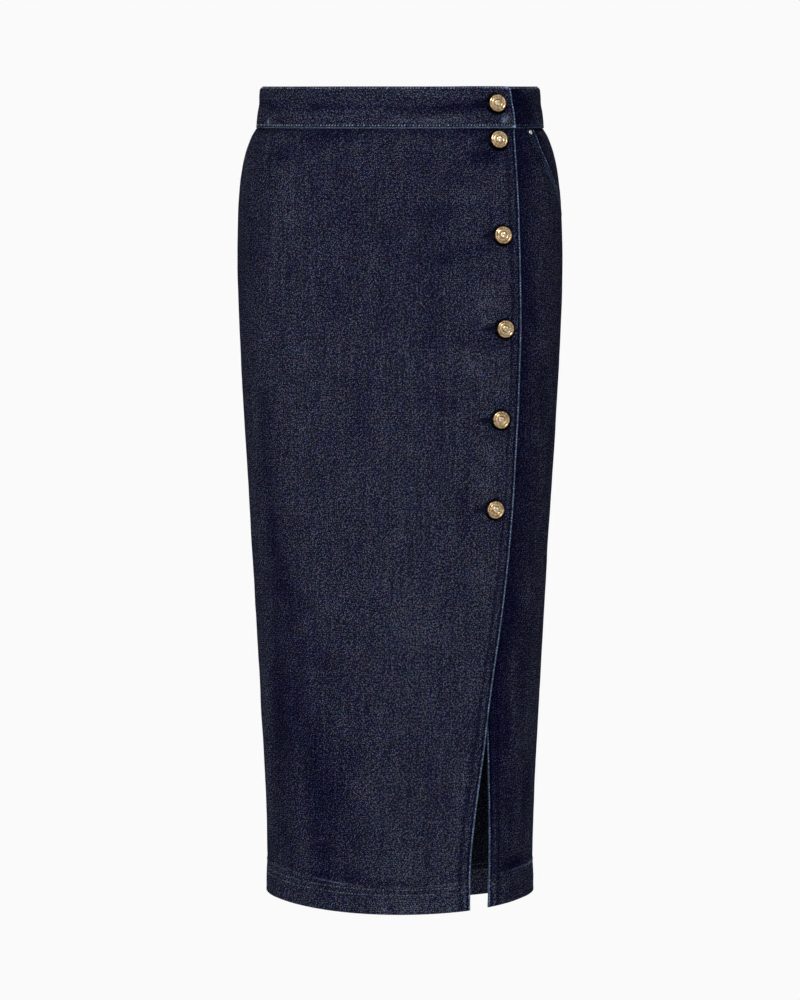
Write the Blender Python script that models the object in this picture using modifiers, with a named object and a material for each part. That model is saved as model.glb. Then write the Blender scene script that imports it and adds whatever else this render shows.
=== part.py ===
"""Wrap-front denim midi skirt in the hollow shape that it has when worn.

The origin is the hold point, in the middle of the waistband. +Z is up, the front
faces -Y and the wearer's left is +X. Sizes and tables are in millimetres, and MM
turns them into Blender's metres. A place on the cloth is an angle round the body,
0 at the centre front and 90 at the wearer's left, and a level, which is its height
where it crosses the side seam.
"""

import math
from collections import namedtuple

import bmesh
import bpy
from mathutils import Matrix, Vector

MM = 0.001

# Cloth and the gaps between its pieces.
WALL = 1.3
SEAM_GAP = 0.3
LAYER_GAP = 0.6
BAND_WALL = 3.0
TURN_UP_WALL = 2.6
TURN_UP_STEP = 1.5

# Levels of the main lines, at the side seam.
BAND_TOP = 21.0
BAND_SEAM = -21.7
WAIST = BAND_SEAM - SEAM_GAP
TURN_UP_TOP = -768.0
HEM = -795.0

# The waist tips forward, and the hem dips between the side seams.
WAIST_TIP = 0.084
BACK_RISE = 4.0
HEM_DIP = 18.5
HEM_DIP_POWER = 1.55

# A round section has power 2, and a higher one is flatter at the centre.
FRONT_POWER = 2.7
BACK_POWER = 2.3

# The upper layer of the wrap stands off the lower one.
OVER_LIFT = WALL + LAYER_GAP
BAND_LIFT = BAND_WALL + LAYER_GAP
LIFT_STARTS = 44.0
LIFT_FULL = 74.0
LIFT_AT_WAIST = 3.0
WAIST_LIFT_ENDS = -55.0
SLIT_LIFT = 0.4
SLIT_LIFT_STARTS = -655.0
SLIT_LIFT_ENDS = -760.0

# The pocket's hip piece and bag lie one layer further in.
POCKET_SINK = WALL + LAYER_GAP
HIP_RAMP = 14.0
HIP_RAMP_FADES = -80.0
HIP_RAMP_ENDS = -102.0
MOUTH_BOTTOM = -110.0
HIP_BOTTOM = -130.0
BAG_TOP = -24.0
BAG_BOTTOM = -242.0

# Tack buttons.
CAP_RADIUS = 9.1
CAP_HEIGHT = 3.4
CAP_CLEARANCE = 1.4
CAP_TURN = 3.0
SHANK_RADIUS = 2.4
NAIL_RADIUS = 1.0
TACK_RADIUS = 4.2
TACK_HEIGHT = 1.2
TACK_CLEARANCE = 0.8
EYE_RADIUS = 3.1
HOLE_LENGTH = 19.0
HOLE_HEIGHT = 1.2
NAIL_HOLE_RADIUS = 1.5
CUTTER_REACH = 8.0
PLACKET_CURVE = 250.0
ROUND_STEPS = 28

# The rivet at the top of the pocket mouth.
RIVET_LEVEL = -25.6
RIVET_ACROSS = 131.0
RIVET_RADIUS = 2.3
RIVET_HEIGHT = 0.8
RIVET_POST = 0.8
RIVET_HOLE = 1.2

Section = namedtuple("Section", "level half_width front back")
BODY = [
    Section(-22, 145.0, 96.0, 92.5),
    Section(-25, 147.2, 96.2, 93.6),
    Section(-30, 150.2, 96.6, 95.5),
    Section(-37, 153.1, 97.3, 98.2),
    Section(-46, 156.2, 98.4, 101.8),
    Section(-58, 159.3, 100.2, 106.4),
    Section(-75, 161.9, 102.8, 112.2),
    Section(-100, 163.9, 106.0, 119.2),
    Section(-130, 164.9, 108.8, 125.2),
    Section(-155, 165.1, 110.2, 128.4),
    Section(-185, 164.6, 111.0, 130.0),
    Section(-220, 163.2, 110.8, 129.6),
    Section(-260, 161.2, 109.9, 127.0),
    Section(-300, 159.0, 108.8, 123.2),
    Section(-360, 155.5, 107.2, 117.4),
    Section(-430, 151.3, 105.6, 111.8),
    Section(-500, 147.1, 104.2, 107.8),
    Section(-570, 143.1, 103.2, 105.0),
    Section(-640, 139.3, 102.6, 103.4),
    Section(-700, 136.2, 102.4, 102.6),
    Section(-740, 134.7, 102.4, 102.4),
    Section(-768, 134.3, 102.6, 102.6),
    Section(-795, 134.9, 103.0, 103.0),
]
BAND = [
    Section(BAND_TOP, 141.9, 94.6, 91.2),
    Section(6, 143.6, 95.4, 92.0),
    Section(-8, 145.1, 96.3, 92.9),
    Section(-18, 146.1, 97.0, 93.6),
    Section(BAND_SEAM, 146.2, 97.0, 93.6),
]

# Edges on the front, as distances across from the centre line.
Edge = namedtuple("Edge", "level across")
OVER_EDGE = [
    Edge(-22, 112.9),
    Edge(-58, 115.9),
    Edge(-100, 117.8),
    Edge(-160, 119.8),
    Edge(-220, 120.2),
    Edge(-265, 118.9),
    Edge(-340, 115.5),
    Edge(-400, 111.9),
    Edge(-460, 106.4),
    Edge(-520, 98.4),
    Edge(-575, 90.4),
    Edge(-635, 83.0),
    Edge(-695, 75.0),
    Edge(-725, 72.0),
    Edge(-755, 70.2),
    Edge(-795, 69.8),
]
UNDER_EDGE = [
    Edge(-22, 78.5),
    Edge(-400, 84.0),
    Edge(-630, 87.7),
    Edge(-720, 89.0),
    Edge(-795, 88.5),
]
BAND_OVER_EDGE = [Edge(BAND_TOP, 108.6), Edge(2, 112.0), Edge(BAND_SEAM, 114.6)]
BAND_UNDER_EDGE = [Edge(BAND_TOP, 78.5), Edge(BAND_SEAM, 78.5)]

# How far the pocket's edges lie in front of the side seam.
Pocket = namedtuple("Pocket", "level mouth hip_piece")
POCKET = [
    Pocket(-22, 52.4, 70.0),
    Pocket(-40, 54.5, 72.0),
    Pocket(-50, 52.5, 70.5),
    Pocket(-60, 49.5, 67.5),
    Pocket(-70, 45.0, 63.0),
    Pocket(-79, 39.6, 57.5),
    Pocket(-88, 33.0, 51.0),
    Pocket(-96, 25.3, 43.5),
    Pocket(-103, 16.0, 35.0),
    Pocket(-108, 7.0, 28.0),
    Pocket(-110, 0.0, 25.0),
    Pocket(-120, 0.0, 13.0),
    Pocket(-130, 0.0, 3.0),
]
Bag = namedtuple("Bag", "level front_across back_reach")
BAG_END = [
    Bag(-130, 114.0, 3.3),
    Bag(-190, 114.0, 3.6),
    Bag(-220, 116.0, 8.0),
    Bag(-236, 121.0, 20.0),
    Bag(-242, 127.0, 34.0),
]

Button = namedtuple("Button", "level across on_band")
BUTTONS = [
    Button(3.1, 95.6, True),
    Button(-33.5, 97.8, False),
    Button(-127.9, 101.9, False),
    Button(-220.6, 104.0, False),
    Button(-310.5, 99.7, False),
    Button(-399.4, 94.2, False),
]

INDIGO = (0.020, 0.022, 0.046, 1.0)
NAVY_COTTON = (0.030, 0.033, 0.055, 1.0)
BRASS = (0.62, 0.45, 0.22, 1.0)
NICKEL = (0.55, 0.55, 0.56, 1.0)


def row_at(table, level):
    """The table's columns at any level, on a smooth curve through its rows."""
    rows = sorted(table)
    level = min(max(level, rows[0].level), rows[-1].level)
    last = len(rows) - 1
    low = max(index for index in range(last) if rows[index].level <= level)
    start, end = rows[low], rows[low + 1]
    span = end.level - start.level
    t = (level - start.level) / span

    def slope(index, column):
        before, after = rows[max(index - 1, 0)], rows[min(index + 1, last)]
        return (after[column] - before[column]) / (after.level - before.level)

    values = [level]
    for column in range(1, len(start)):
        leaving = slope(low, column) * span
        arriving = slope(low + 1, column) * span
        values.append(
            start[column] * (2 * t**3 - 3 * t**2 + 1)
            + leaving * (t**3 - 2 * t**2 + t)
            + end[column] * (3 * t**2 - 2 * t**3)
            + arriving * (t**3 - t**2)
        )
    return type(start)(*values)


def ease(value, start, end):
    """0 before start, 1 past end, smooth between them."""
    t = min(max((value - start) / (end - start), 0.0), 1.0)
    return t * t * (3 - 2 * t)


def base_point(table, angle, level):
    """A point of the outer face of the lower layer."""
    section = row_at(table, level)
    sine, cosine = math.sin(math.radians(angle)), math.cos(math.radians(angle))
    depth = section.front if cosine > 0 else section.back
    power = FRONT_POWER if cosine > 0 else BACK_POWER
    reach = (
        (abs(sine) / section.half_width) ** power + (abs(cosine) / depth) ** power
    ) ** (-1 / power)
    x, y = reach * sine, -reach * cosine
    roundness = math.sqrt(max(1 - (x / section.half_width) ** 2, 0.0))
    waist_rise = WAIST_TIP * y if y < 0 else BACK_RISE * y / section.back
    hem_drop = HEM_DIP * roundness**HEM_DIP_POWER
    down = ease(-level, -WAIST, -HEM)
    return Vector((x, y, level + waist_rise * (1 - down) - hem_drop * down))


def frame_at(table, angle, level):
    """The base point with the directions across, up and out of the cloth there."""
    turn, climb = 0.25, 0.5
    across = base_point(table, angle + turn, level) - base_point(table, angle - turn, level)
    up = base_point(table, angle, level + climb) - base_point(table, angle, level - climb)
    out = across.cross(up).normalized()
    up = (up - up.dot(out) * out).normalized()
    return base_point(table, angle, level), up.cross(out), up, out


def surface_point(table, angle, level, lift):
    """The base point moved level out from the body, so that seams keep their gap."""
    point, _, _, out = frame_at(table, angle, level)
    return point + lift * Vector((out.x, out.y, 0.0)).normalized()


def angle_across(table, level, across):
    """The front angle whose distance from the centre line is this."""
    section = row_at(table, level)
    share = min(abs(across) / section.half_width, 1.0)
    depth = section.front * (1 - share**FRONT_POWER) ** (1 / FRONT_POWER)
    return math.degrees(math.atan2(across, depth))


def angle_before_side(level, reach):
    """The angle that lies this far in front of the wearer's left side seam."""
    section = row_at(BODY, level)
    share = min(reach / section.front, 1.0)
    across = section.half_width * (1 - share**FRONT_POWER) ** (1 / FRONT_POWER)
    return math.degrees(math.atan2(across, reach))


def half_gap(table, level):
    """Half a seam's gap, as an angle at the side seam."""
    return math.degrees(SEAM_GAP / 2 / row_at(table, level).half_width)


def half_gap_back(level):
    return math.degrees(SEAM_GAP / 2 / row_at(BODY, level).back)


def over_lift(angle, level):
    """How far the over panel's outer face stands off the base."""
    rise = ease(angle, angle_across(BODY, level, LIFT_STARTS), angle_across(BODY, level, LIFT_FULL))
    height = LIFT_AT_WAIST + (OVER_LIFT - LIFT_AT_WAIST) * ease(-level, -WAIST, -WAIST_LIFT_ENDS)
    height += (SLIT_LIFT - OVER_LIFT) * ease(-level, -SLIT_LIFT_STARTS, -SLIT_LIFT_ENDS)
    return rise * height


def band_lift(angle, level):
    """The band's over end, past a whole turn, stands off its under end."""
    start = 360 + angle_across(BAND, level, LIFT_STARTS)
    end = 360 + angle_across(BAND, level, LIFT_FULL)
    return BAND_LIFT * ease(angle, start, end)


def hip_lift(angle, level):
    """The hip piece comes out to the side seam above the mouth's lower end."""
    inner = angle_before_side(level, HIP_RAMP)
    fades = 1 - ease(-level, -HIP_RAMP_FADES, -HIP_RAMP_ENDS)
    return -POCKET_SINK * (1 - fades * ease(angle, inner, 90.0))


def bag_lift(angle, level):
    return -POCKET_SINK


def no_lift(angle, level):
    return 0.0


def material(name, colour, roughness, metallic=0.0):
    made = bpy.data.materials.new(name)
    made.use_nodes = True
    shader = made.node_tree.nodes["Principled BSDF"]
    shader.inputs["Base Color"].default_value = colour
    shader.inputs["Roughness"].default_value = roughness
    shader.inputs["Metallic"].default_value = metallic
    made.diffuse_color = colour
    return made


def new_object(name, mesh, collection, finish):
    made = bpy.data.objects.new(name, mesh)
    collection.objects.link(made)
    if finish:
        mesh.materials.append(finish)
    return made


def border_shares(columns):
    """Even shares of a panel's width, with a narrow strip beside each border."""
    strip = 0.08 / columns
    even = [index / columns for index in range(1, columns)]
    return [0.0, strip, *even, 1 - strip, 1.0]


def cloth_piece(name, table, levels, borders, columns, lift, wall, finish, collection):
    """A wall of cloth between two borders, each an angle for every level."""
    first_border, last_border = borders
    sheet = bmesh.new()
    rows = []
    for level in levels:
        start, end = first_border(level), last_border(level)
        row = []
        for share in border_shares(columns):
            angle = start + share * (end - start)
            point = surface_point(table, angle, level, lift(angle, level))
            row.append(sheet.verts.new(point * MM))
        rows.append(row)
    for upper, lower in zip(rows, rows[1:]):
        for index in range(len(upper) - 1):
            sheet.faces.new((lower[index], lower[index + 1], upper[index + 1], upper[index]))
    mesh = bpy.data.meshes.new(name)
    sheet.to_mesh(mesh)
    sheet.free()
    mesh.shade_smooth()
    made = new_object(name, mesh, collection, finish)
    shell = made.modifiers.new("wall", "SOLIDIFY")
    shell.thickness = wall * MM
    shell.offset = -1.0
    if levels[-1] <= HEM:
        add_turn_up(made, shell, levels, len(border_shares(columns)))
    return made


def add_turn_up(made, shell, levels, row_length):
    """The hem is turned up inside, so the wall is doubled there."""
    group = made.vertex_groups.new(name="turn_up")
    for index, level in enumerate(levels):
        if level <= TURN_UP_TOP:
            group.add(range(index * row_length, (index + 1) * row_length), 1.0, "REPLACE")
    shell.thickness = TURN_UP_WALL * MM
    shell.thickness_vertex_group = WALL / TURN_UP_WALL
    shell.vertex_group = group.name


def levels_between(top, bottom, extra=()):
    """The levels of the body's sections and of any other rows, from the top down."""
    levels = {row.level for row in [*BODY, *extra] if bottom < row.level < top}
    return sorted({top, bottom, *levels}, reverse=True)


def body_levels(extra=()):
    """Levels from the waist to the hem, with the step where the turn-up ends."""
    above = levels_between(WAIST, TURN_UP_TOP + TURN_UP_STEP, extra)
    return [*above, TURN_UP_TOP, HEM]


def placement(table, level, across):
    """A matrix with X across, Y up and Z out of the cloth, in metres."""
    point, right, up, out = frame_at(table, angle_across(table, level, across), level)
    turned = Matrix((right, up, out)).transposed().to_4x4()
    return Matrix.Translation(point * MM) @ turned


def turned_solid(name, profile, place, finish, collection):
    """A solid of revolution from a profile of (radius, height) rows, top to bottom."""
    mesh = bpy.data.meshes.new(name)
    points = [(radius * MM, 0.0, height * MM) for radius, height in profile]
    edges = [(index, index + 1) for index in range(len(points) - 1)]
    mesh.from_pydata(points, edges, [])
    made = new_object(name, mesh, collection, finish)
    screw = made.modifiers.new("turn", "SCREW")
    screw.steps = ROUND_STEPS
    screw.render_steps = ROUND_STEPS
    screw.use_merge_vertices = True
    screw.merge_threshold = 0.00001
    screw.use_smooth_shade = False
    made.matrix_world = place
    return made


def cutter_prism(name, outline, place, heights, collection):
    """A prism between two heights over the cloth, both bent as the cloth is."""
    low, high = heights
    prism = bmesh.new()
    corners = []
    for x, y in outline:
        bend = x * x / (2 * PLACKET_CURVE)
        corners.append(prism.verts.new((x * MM, y * MM, (low - bend) * MM)))
    face = prism.faces.new(corners)
    grown = bmesh.ops.extrude_face_region(prism, geom=[face])
    top = [item for item in grown["geom"] if isinstance(item, bmesh.types.BMVert)]
    bmesh.ops.translate(prism, verts=top, vec=(0, 0, (high - low) * MM))
    bmesh.ops.recalc_face_normals(prism, faces=prism.faces)
    mesh = bpy.data.meshes.new(name)
    prism.to_mesh(mesh)
    prism.free()
    made = new_object(name, mesh, collection, None)
    made.matrix_world = place
    made.hide_render = True
    made.display_type = "WIRE"
    return made


def circle_outline(radius, steps=10):
    turns = [2 * math.pi * index / steps for index in range(steps)]
    return [(radius * math.cos(turn), radius * math.sin(turn)) for turn in turns]


def keyhole_outline():
    """A round eye for the shank, and the slot that runs back from it."""
    half = HOLE_HEIGHT / 2
    start = math.asin(half / EYE_RADIUS)
    steps = 10
    sweep = 2 * (math.pi - start)
    turns = [math.pi + start + sweep * index / steps for index in range(steps + 1)]
    eye = [(EYE_RADIUS * math.cos(turn), EYE_RADIUS * math.sin(turn)) for turn in turns]
    return [*eye, (-HOLE_LENGTH, half), (-HOLE_LENGTH, -half)]


def cut(target, cutter):
    hole = target.modifiers.new(cutter.name, "BOOLEAN")
    hole.operation = "DIFFERENCE"
    hole.object = cutter
    hole.solver = "EXACT"


def button_profile(lift, wall):
    """Cap, shank, nail and tack head, in heights from the lower layer's outer face."""
    under = lift + CAP_CLEARANCE
    top = under + CAP_HEIGHT
    tack = -wall - TACK_CLEARANCE
    return [
        (0.0, top),
        (2.9, top - 0.05),
        (3.4, top - 0.45),
        (4.0, top - 0.2),
        (6.3, top - 0.6),
        (6.9, top - 1.1),
        (7.6, top - 0.9),
        (CAP_RADIUS - 0.5, top - 1.5),
        (CAP_RADIUS, top - 2.2),
        (CAP_RADIUS - 0.3, under + 0.3),
        (CAP_RADIUS - 1.2, under),
        (SHANK_RADIUS, under),
        (SHANK_RADIUS, LAYER_GAP),
        (NAIL_RADIUS, LAYER_GAP),
        (NAIL_RADIUS, tack),
        (TACK_RADIUS, tack),
        (TACK_RADIUS, tack - 0.6),
        (TACK_RADIUS - 1.0, tack - TACK_HEIGHT),
        (0.0, tack - TACK_HEIGHT),
    ]


def rivet_profile():
    """A low domed head, its post through both layers, and the burr inside."""
    inside = -WALL - POCKET_SINK - SEAM_GAP
    return [
        (0.0, SEAM_GAP + RIVET_HEIGHT),
        (1.2, SEAM_GAP + RIVET_HEIGHT - 0.1),
        (RIVET_RADIUS, SEAM_GAP + 0.3),
        (RIVET_RADIUS, SEAM_GAP),
        (RIVET_POST, SEAM_GAP),
        (RIVET_POST, inside),
        (RIVET_RADIUS - 0.3, inside),
        (RIVET_RADIUS - 0.3, inside - 0.5),
        (0.0, inside - 0.7),
    ]


def front_over_panel(finish, collection):
    def side_seam(level):
        return -90 + half_gap(BODY, level)

    def front_edge(level):
        return angle_across(BODY, level, row_at(OVER_EDGE, level).across)

    return cloth_piece(
        "front_over_panel", BODY, body_levels(), (side_seam, front_edge), 20, over_lift,
        WALL, finish, collection,
    )


def front_under_panel(finish, collection):
    def front_edge(level):
        return angle_across(BODY, level, row_at(UNDER_EDGE, level).across)

    def outer_edge(level):
        mouth = row_at(POCKET, level).mouth if level > MOUTH_BOTTOM else 0.0
        return angle_before_side(level, max(mouth, 0.0)) - half_gap(BODY, level)

    levels = body_levels(row for row in POCKET if row.level >= MOUTH_BOTTOM)
    return cloth_piece(
        "front_under_panel", BODY, levels, (front_edge, outer_edge), 9, no_lift,
        WALL, finish, collection,
    )


def pocket_hip_piece(finish, collection):
    def front_edge(level):
        return angle_before_side(level, row_at(POCKET, level).hip_piece)

    def side_seam(level):
        return 90 - half_gap(BODY, level)

    levels = levels_between(WAIST, HIP_BOTTOM, POCKET)
    return cloth_piece(
        "pocket_hip_piece", BODY, levels, (front_edge, side_seam), 5, hip_lift,
        WALL, finish, collection,
    )


def pocket_bag(finish, collection):
    def front_edge(level):
        return angle_across(BODY, level, row_at(BAG_END, level).front_across)

    def back_edge(level):
        if level > HIP_BOTTOM:
            return angle_before_side(level, row_at(POCKET, level).hip_piece + SEAM_GAP)
        return angle_before_side(level, row_at(BAG_END, level).back_reach)

    levels = levels_between(BAG_TOP, BAG_BOTTOM, POCKET + BAG_END)
    return cloth_piece(
        "pocket_bag", BODY, levels, (front_edge, back_edge), 5, bag_lift,
        WALL, finish, collection,
    )


def back_panels(finish, collection):
    def left_side(level):
        return 90 + half_gap(BODY, level)

    def left_centre(level):
        return 180 - half_gap_back(level)

    def right_centre(level):
        return 180 + half_gap_back(level)

    def right_side(level):
        return 270 - half_gap(BODY, level)

    for name, borders in (
        ("back_panel_left", (left_side, left_centre)),
        ("back_panel_right", (right_centre, right_side)),
    ):
        cloth_piece(name, BODY, body_levels(), borders, 11, no_lift, WALL, finish, collection)


def waistband(finish, collection):
    def under_end(level):
        return angle_across(BAND, level, row_at(BAND_UNDER_EDGE, level).across)

    def over_end(level):
        return 360 + angle_across(BAND, level, row_at(BAND_OVER_EDGE, level).across)

    levels = [section.level for section in BAND]
    return cloth_piece(
        "waistband", BAND, levels, (under_end, over_end), 48, band_lift, BAND_WALL,
        finish, collection,
    )


def fasten(panels, brass, parts, cutters):
    """Each button with the keyhole in the layer above and the nail's hole below."""
    for number, button in enumerate(BUTTONS, start=1):
        table = BAND if button.on_band else BODY
        place = placement(table, button.level, button.across)
        angle = angle_across(table, button.level, button.across)
        if button.on_band:
            lift, wall = BAND_LIFT, BAND_WALL
        else:
            lift, wall = over_lift(angle, button.level), WALL
        turned = place @ Matrix.Rotation(math.radians(-CAP_TURN), 4, "Y")
        turned_solid(f"button_{number}", button_profile(lift, wall), turned, brass, parts)
        above, below = (LAYER_GAP / 2, CUTTER_REACH), (-CUTTER_REACH, LAYER_GAP / 2)
        keyhole = cutter_prism(f"keyhole_{number}", keyhole_outline(), place, above, cutters)
        nail_hole = cutter_prism(
            f"nail_hole_{number}", circle_outline(NAIL_HOLE_RADIUS), place, below, cutters
        )
        upper, lower = panels[button.on_band]
        cut(upper, keyhole)
        cut(lower, nail_hole)


def rivet_mouth(layers, nickel, parts, cutters):
    place = placement(BODY, RIVET_LEVEL, RIVET_ACROSS)
    turned_solid("pocket_rivet", rivet_profile(), place, nickel, parts)
    through = (-CUTTER_REACH, CUTTER_REACH)
    hole = cutter_prism("rivet_hole", circle_outline(RIVET_HOLE), place, through, cutters)
    for layer in layers:
        cut(layer, hole)


def main():
    for old in list(bpy.data.objects):
        bpy.data.objects.remove(old)
    parts = bpy.data.collections.new("denim_skirt")
    cutters = bpy.data.collections.new("cutters")
    for collection in (parts, cutters):
        bpy.context.scene.collection.children.link(collection)

    denim = material("denim", INDIGO, 0.9)
    cotton = material("pocketing", NAVY_COTTON, 0.95)
    brass = material("brass", BRASS, 0.3, 1.0)
    nickel = material("nickel", NICKEL, 0.3, 1.0)

    over = front_over_panel(denim, parts)
    under = front_under_panel(denim, parts)
    hip = pocket_hip_piece(denim, parts)
    pocket_bag(cotton, parts)
    back_panels(denim, parts)
    band = waistband(denim, parts)
    fasten({True: (band, band), False: (over, under)}, brass, parts, cutters)
    rivet_mouth((under, hip), nickel, parts, cutters)


main()
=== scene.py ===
"""Looks of the wrap-front denim midi skirt: its cloth, stitches, buttons and studio.

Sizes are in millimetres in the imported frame, and MM turns them into Blender's metres. A
place on the cloth is an angle round the body, 0 at the centre front and 90 at the wearer's
left, and a level, which is its height where it crosses the side seam.
"""

import math
from collections import namedtuple

import bmesh
import bpy
import numpy as np
from mathutils import Matrix, Vector


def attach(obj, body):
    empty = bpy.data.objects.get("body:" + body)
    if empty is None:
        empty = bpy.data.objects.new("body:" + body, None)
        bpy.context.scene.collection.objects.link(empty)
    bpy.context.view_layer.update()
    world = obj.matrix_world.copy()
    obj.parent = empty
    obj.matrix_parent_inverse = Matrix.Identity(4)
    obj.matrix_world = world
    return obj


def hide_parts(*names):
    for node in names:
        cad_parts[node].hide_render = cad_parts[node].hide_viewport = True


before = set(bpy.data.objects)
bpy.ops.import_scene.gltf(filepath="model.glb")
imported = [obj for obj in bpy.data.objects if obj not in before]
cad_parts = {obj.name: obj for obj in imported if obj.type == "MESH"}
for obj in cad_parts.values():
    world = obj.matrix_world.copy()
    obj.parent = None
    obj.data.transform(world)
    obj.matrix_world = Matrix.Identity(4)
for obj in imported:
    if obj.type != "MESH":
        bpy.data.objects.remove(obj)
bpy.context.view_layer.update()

MM = 0.001

# ---------------------------------------------------------------- sizes shared with the CAD

# SEWN_GAP is the nominal gap between the borders of two panels that an upright seam joins.
WALL = 1.3
SEAM_GAP = 0.3
SEWN_GAP = 0.005
LAYER_GAP = 0.6
BAND_WALL = 3.0
TURN_UP_WALL = 2.6
TURN_UP_STEP = 1.5

BAND_TOP = 21.0
BAND_SEAM = -21.7
WAIST = BAND_SEAM - SEAM_GAP
TURN_UP_TOP = -768.0
HEM = -795.0

WAIST_TIP = 0.084
BACK_RISE = 4.0
HEM_DIP = 18.5
HEM_DIP_POWER = 1.55
FRONT_POWER = 2.7
BACK_POWER = 2.3

OVER_LIFT = WALL + LAYER_GAP
BAND_LIFT = BAND_WALL + LAYER_GAP
LIFT_STARTS = 44.0
LIFT_FULL = 74.0
LIFT_AT_WAIST = 3.0
WAIST_LIFT_ENDS = -55.0
SLIT_LIFT = 0.4
SLIT_LIFT_STARTS = -655.0
SLIT_LIFT_ENDS = -760.0

POCKET_SINK = WALL + LAYER_GAP
HIP_RAMP = 14.0
HIP_RAMP_FADES = -80.0
HIP_RAMP_ENDS = -102.0
MOUTH_BOTTOM = -110.0
HIP_BOTTOM = -130.0
BAG_TOP = -24.0
BAG_BOTTOM = -242.0

CAP_RADIUS = 9.1
CAP_HEIGHT = 3.4
CAP_CLEARANCE = 1.4
CAP_TURN = 3.0
SHANK_RADIUS = 2.4
NAIL_RADIUS = 1.0
TACK_RADIUS = 4.2
TACK_HEIGHT = 1.2
TACK_CLEARANCE = 0.8
EYE_RADIUS = 3.1
HOLE_LENGTH = 19.0
HOLE_HEIGHT = 1.2
PLACKET_CURVE = 250.0

RIVET_LEVEL = -25.6
RIVET_ACROSS = 131.0
RIVET_RADIUS = 2.3
RIVET_HEIGHT = 0.8
RIVET_POST = 0.8


def rows_of(kind, *rows):
    """A table with one of its kind to each row."""
    return [kind(*row) for row in rows]


# Outlines at heights: half the width, and the depth in front of and behind the middle.
Section = namedtuple("Section", "level half_width front back")
BODY = rows_of(
    Section,
    (-22, 145.0, 96.0, 92.5),
    (-25, 147.2, 96.2, 93.6),
    (-30, 150.2, 96.6, 95.5),
    (-37, 153.1, 97.3, 98.2),
    (-46, 156.2, 98.4, 101.8),
    (-58, 159.3, 100.2, 106.4),
    (-75, 161.9, 102.8, 112.2),
    (-100, 163.9, 106.0, 119.2),
    (-130, 164.9, 108.8, 125.2),
    (-155, 165.1, 110.2, 128.4),
    (-185, 164.6, 111.0, 130.0),
    (-220, 163.2, 110.8, 129.6),
    (-260, 161.2, 109.9, 127.0),
    (-300, 159.0, 108.8, 123.2),
    (-360, 155.5, 107.2, 117.4),
    (-430, 151.3, 105.6, 111.8),
    (-500, 147.1, 104.2, 107.8),
    (-570, 143.1, 103.2, 105.0),
    (-640, 139.3, 102.6, 103.4),
    (-700, 136.2, 102.4, 102.6),
    (-740, 134.7, 102.4, 102.4),
    (-768, 134.3, 102.6, 102.6),
    (-795, 134.9, 103.0, 103.0),
)
BAND = rows_of(
    Section,
    (BAND_TOP, 141.9, 94.6, 91.2),
    (6, 143.6, 95.4, 92.0),
    (-8, 145.1, 96.3, 92.9),
    (-18, 146.1, 97.0, 93.6),
    (BAND_SEAM, 146.2, 97.0, 93.6),
)

# Edges on the front, as distances across from the centre line.
Edge = namedtuple("Edge", "level across")
OVER_EDGE = rows_of(
    Edge,
    (-22, 112.9),
    (-58, 115.9),
    (-100, 117.8),
    (-160, 119.8),
    (-220, 120.2),
    (-265, 118.9),
    (-340, 115.5),
    (-400, 111.9),
    (-460, 106.4),
    (-520, 98.4),
    (-575, 90.4),
    (-635, 83.0),
    (-695, 75.0),
    (-725, 72.0),
    (-755, 70.2),
    (-795, 69.8),
)
UNDER_EDGE = rows_of(
    Edge,
    (-22, 78.5),
    (-400, 84.0),
    (-630, 87.7),
    (-720, 89.0),
    (-795, 88.5),
)
BAND_OVER_EDGE = rows_of(Edge, (BAND_TOP, 108.6), (2, 112.0), (BAND_SEAM, 114.6))
BAND_UNDER_EDGE = rows_of(Edge, (BAND_TOP, 78.5), (BAND_SEAM, 78.5))

# How far the pocket's edges lie in front of the side seam.
Pocket = namedtuple("Pocket", "level mouth hip_piece")
POCKET = rows_of(
    Pocket,
    (-22, 52.4, 70.0),
    (-40, 54.5, 72.0),
    (-50, 52.5, 70.5),
    (-60, 49.5, 67.5),
    (-70, 45.0, 63.0),
    (-79, 39.6, 57.5),
    (-88, 33.0, 51.0),
    (-96, 25.3, 43.5),
    (-103, 16.0, 35.0),
    (-108, 7.0, 28.0),
    (-110, 0.0, 25.0),
    (-120, 0.0, 13.0),
    (-130, 0.0, 3.0),
)
Bag = namedtuple("Bag", "level front_across back_reach")
BAG_END = rows_of(
    Bag,
    (-130, 114.0, 3.3),
    (-190, 114.0, 3.6),
    (-220, 116.0, 8.0),
    (-236, 121.0, 20.0),
    (-242, 127.0, 34.0),
)

Button = namedtuple("Button", "level across on_band")
BUTTONS = rows_of(
    Button,
    (3.1, 95.6, True),
    (-33.5, 97.8, False),
    (-127.9, 101.9, False),
    (-220.6, 104.0, False),
    (-310.5, 99.7, False),
    (-399.4, 94.2, False),
)

# ---------------------------------------------------------------- sizes of the looks

# Mesh steps over the cloth: fine beside seams and edges, coarse between them.
FINE_STEP = 1.2
COARSE_STEP = 4.4
LEVEL_STEP = 2.2
FINE_STRIP = 13.0
WAIST_STRIP = 12.0
HEM_STRIP = 34.0
EDGE_ROUND = 0.5
BAND_EDGE_ROUND = 0.6
EDGE_SEGMENTS = 3
EYE_STEPS = 14
CUTTER_TOP = 9.0
CAP_STEPS = 80
RIVET_STEPS = 40

# Each button is turned this much further than the one before, in degrees.
BUTTON_TURN = 37

# Sewing.
STITCH_PITCH = 2.9
STITCH_LENGTH = 1.95
STITCH_RADIUS = 0.27
STITCH_UNEVEN = 0.08
STITCH_LEAN = 0.10
STITCH_SIDES = 6
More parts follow.
